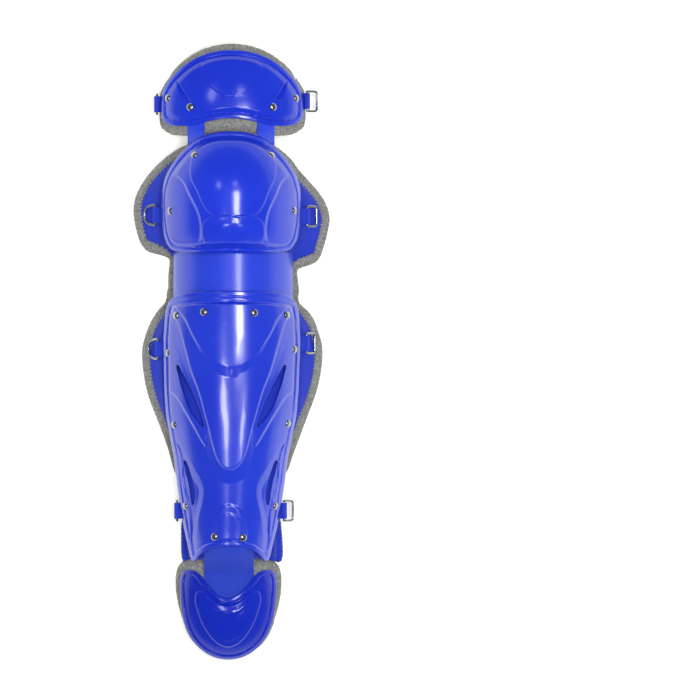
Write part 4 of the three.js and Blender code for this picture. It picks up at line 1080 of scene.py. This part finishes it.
def swell(piece, voxel):
    if voxel:
        remesh = piece.modifiers.new("remesh", "REMESH")
        remesh.mode, remesh.voxel_size, remesh.use_smooth_shade = "VOXEL", voxel * MM, True
        apply_modifiers(piece)
    cloth = piece.modifiers.new("cloth", "CLOTH")
    settings = cloth.settings
    settings.use_pressure, settings.uniform_pressure_force, settings.quality = True, SWELL_PRESSURE, 4
    settings.effector_weights.gravity = 0
    settings.tension_stiffness = settings.compression_stiffness = 20
    cloth.point_cache.frame_start, cloth.point_cache.frame_end = 1, SWELL_FRAMES
    before = np.array([v.co[:] for v in piece.data.vertices])
    scene = bpy.context.scene
    for frame_number in range(1, SWELL_FRAMES + 1):
        scene.frame_set(frame_number)
    graph = bpy.context.evaluated_depsgraph_get()
    moved = np.array([v.co[:] for v in piece.evaluated_get(graph).data.vertices])
    piece.modifiers.clear()
    scene.frame_set(1)
    shift = moved - before
    size = np.linalg.norm(shift, axis=1, keepdims=True)
    settled = before + shift * np.minimum(1, SWELL_LIMIT / np.maximum(size, 1e-9))
    settled[:, 2] = np.maximum(settled[:, 2], 0.1 * MM)
    piece.data.vertices.foreach_set("co", settled.astype(np.float32).ravel())
    subdivide = piece.modifiers.new("subdivide", "SUBSURF")
    subdivide.levels = subdivide.render_levels = 1
    apply_modifiers(piece)
    return float(size.max() / MM)


def write_edge_attributes(piece, outline, height):
    """Distance from the pad's edge and along it, in metres, and whether a point is on the front."""
    mesh = piece.data
    count = len(mesh.vertices)
    place, normal = np.zeros(count * 3, np.float32), np.zeros(count * 3, np.float32)
    mesh.vertices.foreach_get("co", place)
    mesh.vertex_normals.foreach_get("vector", normal)
    x, y = place.reshape(-1, 3)[:, :2].T / MM
    depth, run = depth_inside(outline, x, y, with_run=True)
    near = np.clip(1 - np.abs(depth) / 3, 0, 1)[:, None]
    bulge = height * np.abs(np.sin(math.pi * run / SCALLOP_PITCH))[:, None]
    flat_way = normal.reshape(-1, 3) * (1, 1, 0)
    place = place.reshape(-1, 3) + near * (bulge - 0.6 * height) * flat_way * MM
    mesh.vertices.foreach_set("co", place.astype(np.float32).ravel())
    front = smooth(normal.reshape(-1, 3)[:, 2], -0.15, 0.15)
    for name, values in (("edge_depth", depth * MM), ("edge_run", run * MM), ("front", front)):
        layer = mesh.attributes.new(name, "FLOAT", "POINT")
        layer.data.foreach_set("value", values.astype(np.float32))


pad_pieces = {}
for part, ((points, faces), outline) in PADS.items():
    cloth = wing_cloth if part in ("knee", "shin") else grey_cloth
    pad = make_mesh(f"{part}_foam", points, faces, cloth)
    print(part, "swelled by up to", round(swell(pad, VOXELS.get(part)), 2), "mm before the limit")
    pad.data.shade_smooth()
    write_edge_attributes(pad, outline, SCALLOP_HEIGHTS[part])
    pad_pieces[part] = finish_piece(pad, [f"{part}_pad"])

# %% [markdown]
# ## Straps, band and woven strip
# Flat straps hold the sections together and let them fold. They are too thin to remesh, so each is a
# fine strip that follows one form, bridges the gap and follows the next, with rounded edges.

# %% Strips that follow the forms
def bridge(form_a, form_b, start, stop, inward):
    def height(x, y, more=0):
        share = np.clip((start - y) / (start - stop), 0, 1)
        above = form_a(x, np.maximum(y, start), inward + more)
        below = form_b(x, np.minimum(y, stop), inward + more)
        return mix(above, below, smooth(share, 0, 1) * 0.5 + share * 0.5)
    return height


def make_strip(name, xs, ys, height, wall, material, nodes):
    gx, gy = np.meshgrid(xs, ys)
    x, y = gx.ravel(), gy.ravel()
    normal = normal_of(height, x, y)
    upper = np.column_stack([x, y, height(x, y)])
    points, faces = plate(upper, upper - normal * wall, len(ys), len(xs))
    piece = make_mesh(name, points, faces, material)
    bevel = piece.modifiers.new("soft edge", "BEVEL")
    bevel.width, bevel.segments, bevel.limit_method, bevel.angle_limit = 0.3 * wall * MM, 2, "ANGLE", 1.0
    apply_modifiers(piece)
    piece.data.shade_smooth()
    return finish_piece(piece, nodes)


STRAP_WIDTH, STRAP_OFFSET, STRIP_HALF = 19.4, 39.5, 28.4
strap_height = bridge(thigh_form, knee_form, THIGH_TOP - 0.98 * THIGH_LENGTH, KNEE_TOP - 0.085 * KNEE_LENGTH,
                      SHELL_WALL + (STANDOFF - STRAP_WALL) / 2)
strap_ys = np.linspace(THIGH_TOP - 0.87 * THIGH_LENGTH, KNEE_TOP - 0.2 * KNEE_LENGTH, 61)
for side, name in ((-1, "left"), (1, "right")):
    xs = side * STRAP_OFFSET + np.linspace(-0.5, 0.5, 25) * STRAP_WIDTH
    make_strip(f"hinge_webbing_{name}", xs, strap_ys, strap_height, STRAP_WALL, strap_blue.material,
               [f"hinge_strap_{name}"])

band_xs = BAND_MIDDLE + BAND_HALF * np.sin(np.linspace(-1, 1, 91) * math.pi / 2)
band_ys = np.linspace(KNEE_BOTTOM + 0.022 * KNEE_LENGTH, SHIN_TOP - 0.028 * SHIN_LENGTH, 41)
make_strip("knee_band_moulded", band_xs, band_ys, band_form, BAND_WALL, band_blue, ["knee_band"])

strip_height = bridge(shin_form, toe_form, SHIN_TOP - 0.96 * SHIN_LENGTH, TOE_TOP - 0.06 * TOE_LENGTH,
                      SHELL_WALL + (STANDOFF - STRIP_WALL) / 2)
strip_ys = np.linspace(SHIN_TOP - 0.915 * SHIN_LENGTH, TOE_TOP - 0.38 * TOE_LENGTH, 71)
strip_xs = TOE_MIDDLE + 1 + np.linspace(-STRIP_HALF, STRIP_HALF, 55)
strip = make_strip("ankle_weave", strip_xs, strip_ys, strip_height, STRIP_WALL, ballistic_blue.material,
                   ["ankle_strip"])
line = np.column_stack([strip_ys, strip_height(np.full(71, TOE_MIDDLE), strip_ys)])
strip_length = float(walked(line)[-1]) * MM
row = np.column_stack([strip_xs, strip_height(strip_xs, np.full(55, TOE_TOP))])
strip_width = float(walked(row)[-1]) * MM
print("woven strip", round(strip_width, 4), "by", round(strip_length, 4), "m")

# %% [markdown]
# ## Rings and their webbing tabs
# Each ring turns in the eye of a folded webbing tab, and rides on a body of its own. Its wire is swept
# along the same line as in the CAD model, with rounder corners and a rounder section.

# %% Rings
RING_WIRE, WEBBING_WIDTH, WEBBING_WALL, RING_PLAY = 2.8, 18, 1.2, 0.6
RING_HALF = WEBBING_WIDTH / 2 + 0.7 + RING_WIRE / 2
ROUND_DEPTH, SQUARE_DEPTH = 15, 12.5


def ring_line(is_round):
    line = [(0, -RING_HALF * 0.97), (0, 0), (0, RING_HALF * 0.97)]
    if is_round:
        for t in np.linspace(0.06, 0.94, 15):
            line.append((ROUND_DEPTH * math.sin(math.pi * t) ** 0.75, RING_HALF * math.cos(math.pi * t)))
    else:
        r, d, h = 2.6, SQUARE_DEPTH, RING_HALF
        for cx, cy, a0 in ((d - r, h - r, 90), (d - r, r - h, 0)):
            for a in np.linspace(a0, a0 - 90, 6):
                line.append((cx + r * math.cos(math.radians(a)), cy + r * math.sin(math.radians(a))))
        line.insert(3, (1.2, RING_HALF))
        line.append((1.2, -RING_HALF))
    return line


def sweep(line, section, origin, u_way, v_way):
    """A closed tube along a plane line, its section given as (out, up) offsets."""
    u_way, v_way = np.array(u_way, float), np.array(v_way, float)
    up = np.cross(v_way, u_way)
    at = origin + np.outer(line[:, 0], u_way) + np.outer(line[:, 1], v_way)
    way = np.roll(at, -1, axis=0) - np.roll(at, 1, axis=0)
    way /= np.linalg.norm(way, axis=1, keepdims=True)
    out = np.cross(way, up)
    points = [p + a * o + b * up for p, o in zip(at, out) for a, b in section]
    n, m = len(line), len(section)
    faces = [(i * m + k, i * m + (k + 1) % m, (i + 1) % n * m + (k + 1) % m, (i + 1) % n * m + k)
             for i in range(n) for k in range(m)]
    return np.array(points), faces


joints = {joint["child"]: joint for joint in frame["joints"]}
turns = np.linspace(0, 2 * math.pi, 16, endpoint=False)
wire = [(RING_WIRE / 2 * math.cos(a), RING_WIRE / 2 * math.sin(a)) for a in turns]
RINGS = {
    "thigh_left": (-1, "thigh"), "thigh_right": (1, "thigh"),
    "knee_left": (-1, "knee"), "knee_right": (1, "knee"),
    "shin_left": (-1, "shin"), "shin_right": (1, "shin"), "ankle_left": (-1, "shin"), "ankle_right": (1, "shin"),
}
ring_places = {}
for name, (side, part) in RINGS.items():
    bar = np.array(joints[f"{name}_ring"]["pos_m"]) / MM
    low, high = (np.array(corner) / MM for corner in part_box(f"{name}_ring"))
    middle = (low + high) / 2 - bar
    drop = math.atan2(-middle[2], side * middle[0])
    away = (side * math.cos(drop), 0, -math.sin(drop))
    line = rounded(ring_line(side < 0), 96)
    points, faces = sweep(line, wire, bar, away, (0, 1, 0))
    ring = outward(make_mesh(f"{name}_wire", points, faces, nickel.material))
    finish_piece(ring, [f"{name}_ring"], body=f"{name}_ring")
    ring_places[name] = (side, part, bar, math.degrees(drop))
print("rings drop by", {name: round(place[3]) for name, place in ring_places.items()})

# %% Folded webbing tabs
EDGE_LINES = {part: rounded(placed(part, mirrored(OUTLINES[part])), 300) for part in ("thigh", "knee")}
EDGE_LINES["shin"] = rim


def edge_of(part, side, y):
    xs = SECTIONS[part][0] + side * np.arange(40, 100, 0.25)
    return side * np.max(side * xs[depth_inside(EDGE_LINES[part], xs, np.full(xs.shape, y)) > 0])


EYE = RING_WIRE / 2 + RING_PLAY + WEBBING_WALL / 2
STEM_BACKS = np.array([11.5, 9, 6.5, 5, 3.4])  # how far inside the shell's edge each point of a tab lies
for name, (side, part, bar, _) in ring_places.items():
    edge = edge_of(part, side, bar[1])
    inner = SHELL_WALL + STANDOFF / 2
    xs = edge - side * STEM_BACKS
    stem = np.column_stack([xs, FORMS[part](xs, np.full(len(xs), bar[1]), inner)])
    way = (bar[[0, 2]] - stem[-1]) / np.linalg.norm(bar[[0, 2]] - stem[-1])
    start = math.atan2(way[1], way[0])
    half = WEBBING_WALL / 2 + 0.05
    flat = np.vstack([stem, mix(stem[-1], bar[[0, 2]], 0.45)[None]])
    along_stem = np.gradient(flat, axis=0)
    across_stem = np.column_stack([-along_stem[:, 1], along_stem[:, 0]])
    across_stem /= np.linalg.norm(across_stem, axis=1, keepdims=True)
    turn = start + np.radians(np.linspace(145, -145, 15))
    eye = bar[[0, 2]] + EYE * np.column_stack([np.cos(turn), np.sin(turn)])
    path = np.vstack([flat + half * across_stem, eye, (flat - half * across_stem)[::-1]])
    ways = np.gradient(path, axis=0)
    thick = np.column_stack([-ways[:, 1], ways[:, 0]])
    thick *= (WEBBING_WALL / 2 - 0.05) / np.linalg.norm(thick, axis=1, keepdims=True)
    ys = bar[1] + np.linspace(-0.5, 0.5, 7) * WEBBING_WIDTH
    skin_a = np.array([(x, y, z) for x, z in path + thick for y in ys])
    skin_b = np.array([(x, y, z) for x, z in path - thick for y in ys])
    points, faces = plate(skin_a, skin_b, len(path), len(ys))
    tab = outward(make_mesh(f"{name}_webbing", points, faces, webbing_blue.material))
    finish_piece(tab, [f"{name}_tab"])

# %% [markdown]
# ## Rivets and stitches
# Both repeat one small shape at many places, so both come from Geometry Nodes: a tree puts a small mesh
# on each point of a point cloud, turned to the surface's normal and to the way the seam runs.

# %% A tree that sets a small shape on each point
def socket_of(tree, name):
    return next(item.identifier for item in tree.interface.items_tree if item.name == name)


def tree_of(name, sizes, build_shape, material):
    tree = bpy.data.node_groups.new(name, "GeometryNodeTree")
    tree.interface.new_socket("Geometry", in_out="INPUT", socket_type="NodeSocketGeometry")
    tree.interface.new_socket("Geometry", in_out="OUTPUT", socket_type="NodeSocketGeometry")
    for size_name in sizes:
        tree.interface.new_socket(size_name, in_out="INPUT", socket_type="NodeSocketFloat")
    start, end = tree.nodes.new("NodeGroupInput"), tree.nodes.new("NodeGroupOutput")
    make, join = tree.nodes.new, tree.links.new
    shape = build_shape(tree, start)
    to_points, place = make("GeometryNodeMeshToPoints"), make("GeometryNodeInstanceOnPoints")
    join(start.outputs["Geometry"], to_points.inputs["Mesh"])
    join(to_points.outputs["Points"], place.inputs["Points"])
    join(shape, place.inputs["Instance"])
    rotation = None
    for attribute, axis in (("out", "Z"), ("way", "X")):
        read = make("GeometryNodeInputNamedAttribute")
        read.data_type = "FLOAT_VECTOR"
        read.inputs["Name"].default_value = attribute
        turn = make("FunctionNodeAlignRotationToVector")
        turn.axis, turn.pivot_axis = axis, "AUTO" if axis == "Z" else "Z"
        join(read.outputs["Attribute"], turn.inputs["Vector"])
        if rotation is not None:
            join(rotation, turn.inputs["Rotation"])
        rotation = turn.outputs["Rotation"]
    join(rotation, place.inputs["Rotation"])
    real, paint = make("GeometryNodeRealizeInstances"), make("GeometryNodeSetMaterial")
    paint.inputs["Material"].default_value = material
    join(place.outputs["Instances"], real.inputs["Geometry"])
    join(real.outputs["Geometry"], paint.inputs["Geometry"])
    join(paint.outputs["Geometry"], end.inputs["Geometry"])
    return tree


def grow(name, places, outs, ways, tree, sizes):
    """A plain mesh of the tree's shape at each place."""
    mesh = bpy.data.meshes.new(name)
    mesh.from_pydata((np.asarray(places) * MM).tolist(), [], [])
    for attribute, values in (("out", outs), ("way", ways)):
        layer = mesh.attributes.new(attribute, "FLOAT_VECTOR", "POINT")
        layer.data.foreach_set("vector", np.asarray(values, np.float32).ravel())
    piece = bpy.data.objects.new(name, mesh)
    bpy.context.scene.collection.objects.link(piece)
    modifier = piece.modifiers.new(name, "NODES")
    modifier.node_group = tree
    for size_name, value in sizes.items():
        modifier[socket_of(tree, size_name)] = value
    apply_modifiers(piece)
    piece.data.shade_smooth()
    return piece


def ball_shape(segments, rings, radius, stretch):
    """A ball with this many faces; its radius and stretch along X, Y and Z are numbers or named inputs."""
    def feed(tree, start, value, socket):
        if isinstance(value, str):
            tree.links.new(start.outputs[value], socket)
        else:
            socket.default_value = value

    def build(tree, start):
        ball, size = tree.nodes.new("GeometryNodeMeshUVSphere"), tree.nodes.new("ShaderNodeCombineXYZ")
        squash = tree.nodes.new("GeometryNodeTransform")
        ball.inputs["Segments"].default_value, ball.inputs["Rings"].default_value = segments, rings
        feed(tree, start, radius, ball.inputs["Radius"])
        for axis, value in zip("XYZ", stretch):
            feed(tree, start, value, size.inputs[axis])
        tree.links.new(size.outputs["Vector"], squash.inputs["Scale"])
        tree.links.new(ball.outputs["Mesh"], squash.inputs["Geometry"])
        return squash.outputs["Geometry"]
    return build


# %% Rivets
RIVETS = {
    "thigh": [(-0.89, 0.629), (-0.572, 0.755), (0.572, 0.755), (0.89, 0.629)],
    "knee": [(-0.502, 0.197), (0.577, 0.197), (-0.856, 0.647), (0.893, 0.643)],
    "shin": [
        (-0.797, 0.09), (-0.391, 0.078), (0.329, 0.081), (0.789, 0.089), (-0.91, 0.228), (0.903, 0.215),
        (-0.816, 0.492), (0.817, 0.488), (-0.645, 0.792), (0.645, 0.792), (-0.215, 0.903), (0.19, 0.906),
    ],
}
RIVET_HEAD = 4.5
rivet_nodes, seats, outs = [], [], []
for part, rows in RIVETS.items():
    places = placed(part, rows)
    x, y = places.T
    if part == "shin":
        x = x + shin_centre(y) - SHIN_MIDDLE
    depth, run = depth_inside(EDGE_LINES[part], x, y, with_run=True)
    z = FORMS[part](x, y) + RELIEFS[part](x, y, np.maximum(depth, 0), run)
    normal = normal_of(FORMS[part], x, y)
    seats.append(np.column_stack([x, y, z]) + 0.1 * normal)
    outs.append(normal)
    rivet_nodes += [f"{part}_rivet_{i + 1}" for i in range(len(rows))]
seats, outs = np.vstack(seats), np.vstack(outs)
head = ball_shape(28, 16, "Head radius", (1, 1, "Flatness"))
rivet_tree = tree_of("rivet_heads", ["Head radius", "Flatness"], head, nickel.material)
rivets = grow("rivet_heads", seats, outs, np.tile((1.0, 0, 0), (len(seats), 1)), rivet_tree,
              {"Head radius": RIVET_HEAD * MM, "Flatness": 0.5})
finish_piece(rivets, rivet_nodes)

# %% Overlock stitches round the pads
def seam_places(piece, outline, depth, pitch, slant):
    """Points on the pad's front at one depth from its edge, with the surface's normal and the seam's way."""
    inwards = 1 if depth_inside(outline, *set_in(outline, 2).T).mean() > 0 else -1
    line = set_in(outline, inwards * depth)
    line = line[depth_inside(outline, *line.T) > 0.8 * depth]
    length = walked(line)
    at = np.arange(0, length[-1], pitch)
    x, y = (np.interp(at, length, line[:, k]) for k in (0, 1))
    tree = BVHTree.FromObject(piece, bpy.context.evaluated_depsgraph_get())
    places, outs, ways = [], [], []
    for i in range(len(at) - 1):
        hit, normal, _, _ = tree.ray_cast((x[i] * MM, y[i] * MM, 0.3), (0, 0, -1))
        step = np.array([x[i + 1] - x[i], y[i + 1] - y[i], 0])
        size = np.linalg.norm(step)
        if hit is None or normal.z < 0.15 or size > 3 * pitch:
            continue
        way = step / size
        side = np.array([-way[1], way[0], 0])
        places.append(np.array(hit) / MM + 0.05 * np.array(normal))
        outs.append(normal)
        ways.append(math.cos(slant) * way + math.sin(slant) * side)
    return places, outs, ways


STITCH_PITCH, STITCH_DEPTH, STITCH_LENGTH, STITCH_THICKNESS = 2.6, 7.9, 1.5, 0.34
STITCH_SLANT = math.radians(75)
stitch = ball_shape(6, 5, 1, ("Length", "Thickness", "Thickness"))
stitch_tree = tree_of("overlock_stitches", ["Length", "Thickness"], stitch, thread_grey.material)
for part, pad in pad_pieces.items():
    places, outs, ways = seam_places(pad, PADS[part][1], STITCH_DEPTH, STITCH_PITCH, STITCH_SLANT)
    stitches = grow(f"{part}_stitches", places, outs, ways, stitch_tree,
                    {"Length": STITCH_LENGTH * MM, "Thickness": STITCH_THICKNESS * MM})
    finish_piece(stitches, [])
    print(part, len(places), "stitches")

# %% [markdown]
# ## Floor and light
# The photograph was lit from all sides and shows hardly any shadow, while the plastic mirrors a pale room
# low down and a dark ceiling with narrow bright windows. So the world is bright at the horizon and dark
# overhead, the floor is pale, and long narrow lamps above draw the upright streaks.

# %% Floor
floor_finish = Finish("pale_floor")
floor_finish.set(
    Base_Color=(0.94, 0.95, 0.9, 1), Roughness=0.9, Emission_Color=(1, 1, 0.95, 1), Emission_Strength=0.34,
)
FLOOR = 9000
floor_corners = [(-FLOOR, -FLOOR, 0), (FLOOR, -FLOOR, 0), (FLOOR, FLOOR, 0), (-FLOOR, FLOOR, 0)]
floor_mesh = make_mesh("floor", floor_corners, [(0, 1, 2, 3)], floor_finish.material, False)

# %% Room
world = bpy.data.worlds.new("room")
world.use_nodes = True
bpy.context.scene.world = world
room = world.node_tree
way = add_node(room, "ShaderNodeTexCoord")["Generated"]
sides = add_node(room, "ShaderNodeSeparateXYZ", Vector=way)
climb = sides["Z"] + 0.075 * math_node(room, "MAXIMUM", sides["X"] * -1, 0.0)  # less pale light on the left
shade = add_node(room, "ShaderNodeValToRGB", {"stops": [
    (0.0, (0.9, 0.98, 0.84, 1)), (0.13, (0.82, 0.9, 0.78, 1)), (0.19, (0.24, 0.27, 0.28, 1)),
    (0.5, (0.15, 0.165, 0.19, 1)), (1.0, (0.12, 0.13, 0.155, 1)),
]}, Fac=climb)["Color"]
link(room, room.nodes["Background"].inputs["Color"], shade)
room.nodes["Background"].inputs["Strength"].default_value = 1.0


# %% Lamps
LAMP_TARGET = (0, 0, 0.05)


def lamp(name, place, size, power):
    data = bpy.data.lights.new(name, "AREA")
    data.shape, data.size, data.size_y, data.energy = "RECTANGLE", size[0], size[1], power
    light = bpy.data.objects.new(name, data)
    light.location = place
    way = np.array(LAMP_TARGET) - np.array(place)
    light.rotation_euler = (math.acos(-way[2] / np.linalg.norm(way)), 0, math.atan2(way[0], -way[1]) + math.pi)
    bpy.context.scene.collection.objects.link(light)
    return light


LAMPS = {
    "left": ((-0.56, -0.6, 3.0), (0.7, 0.36), 10), "right": ((0.68, 0.15, 3.0), (0.62, 0.56), 24),
    "right_low": ((1.15, -0.75, 3.0), (0.4, 0.3), 5), "faint_left": ((-1.35, 1.1, 3.0), (0.5, 0.5), 4),
    "faint_right": ((0.55, 1.15, 3.0), (0.4, 0.4), 2.5),
}
for name, (place, size, power) in LAMPS.items():
    lamp(name, place, size, power)
fill = lamp("fill", (0.1, 0.0, 4.0), (2.6, 2.6), 100)
fill.visible_glossy = False
bpy.context.scene.view_settings.view_transform = "Standard"
print("lamps", list(LAMPS))

# %% [markdown]
# ## Close
# The drawn meshes are counted in triangles, and the largest counts are printed with the total.

# %% Triangle counts
drawn = [piece for piece in bpy.context.scene.objects if piece.type == "MESH" and not piece.hide_render]
counts = {piece.name: sum(len(face.vertices) - 2 for face in piece.data.polygons) for piece in drawn}
print("most triangles", sorted(counts.items(), key=lambda item: -item[1])[:8], "in all", sum(counts.values()))
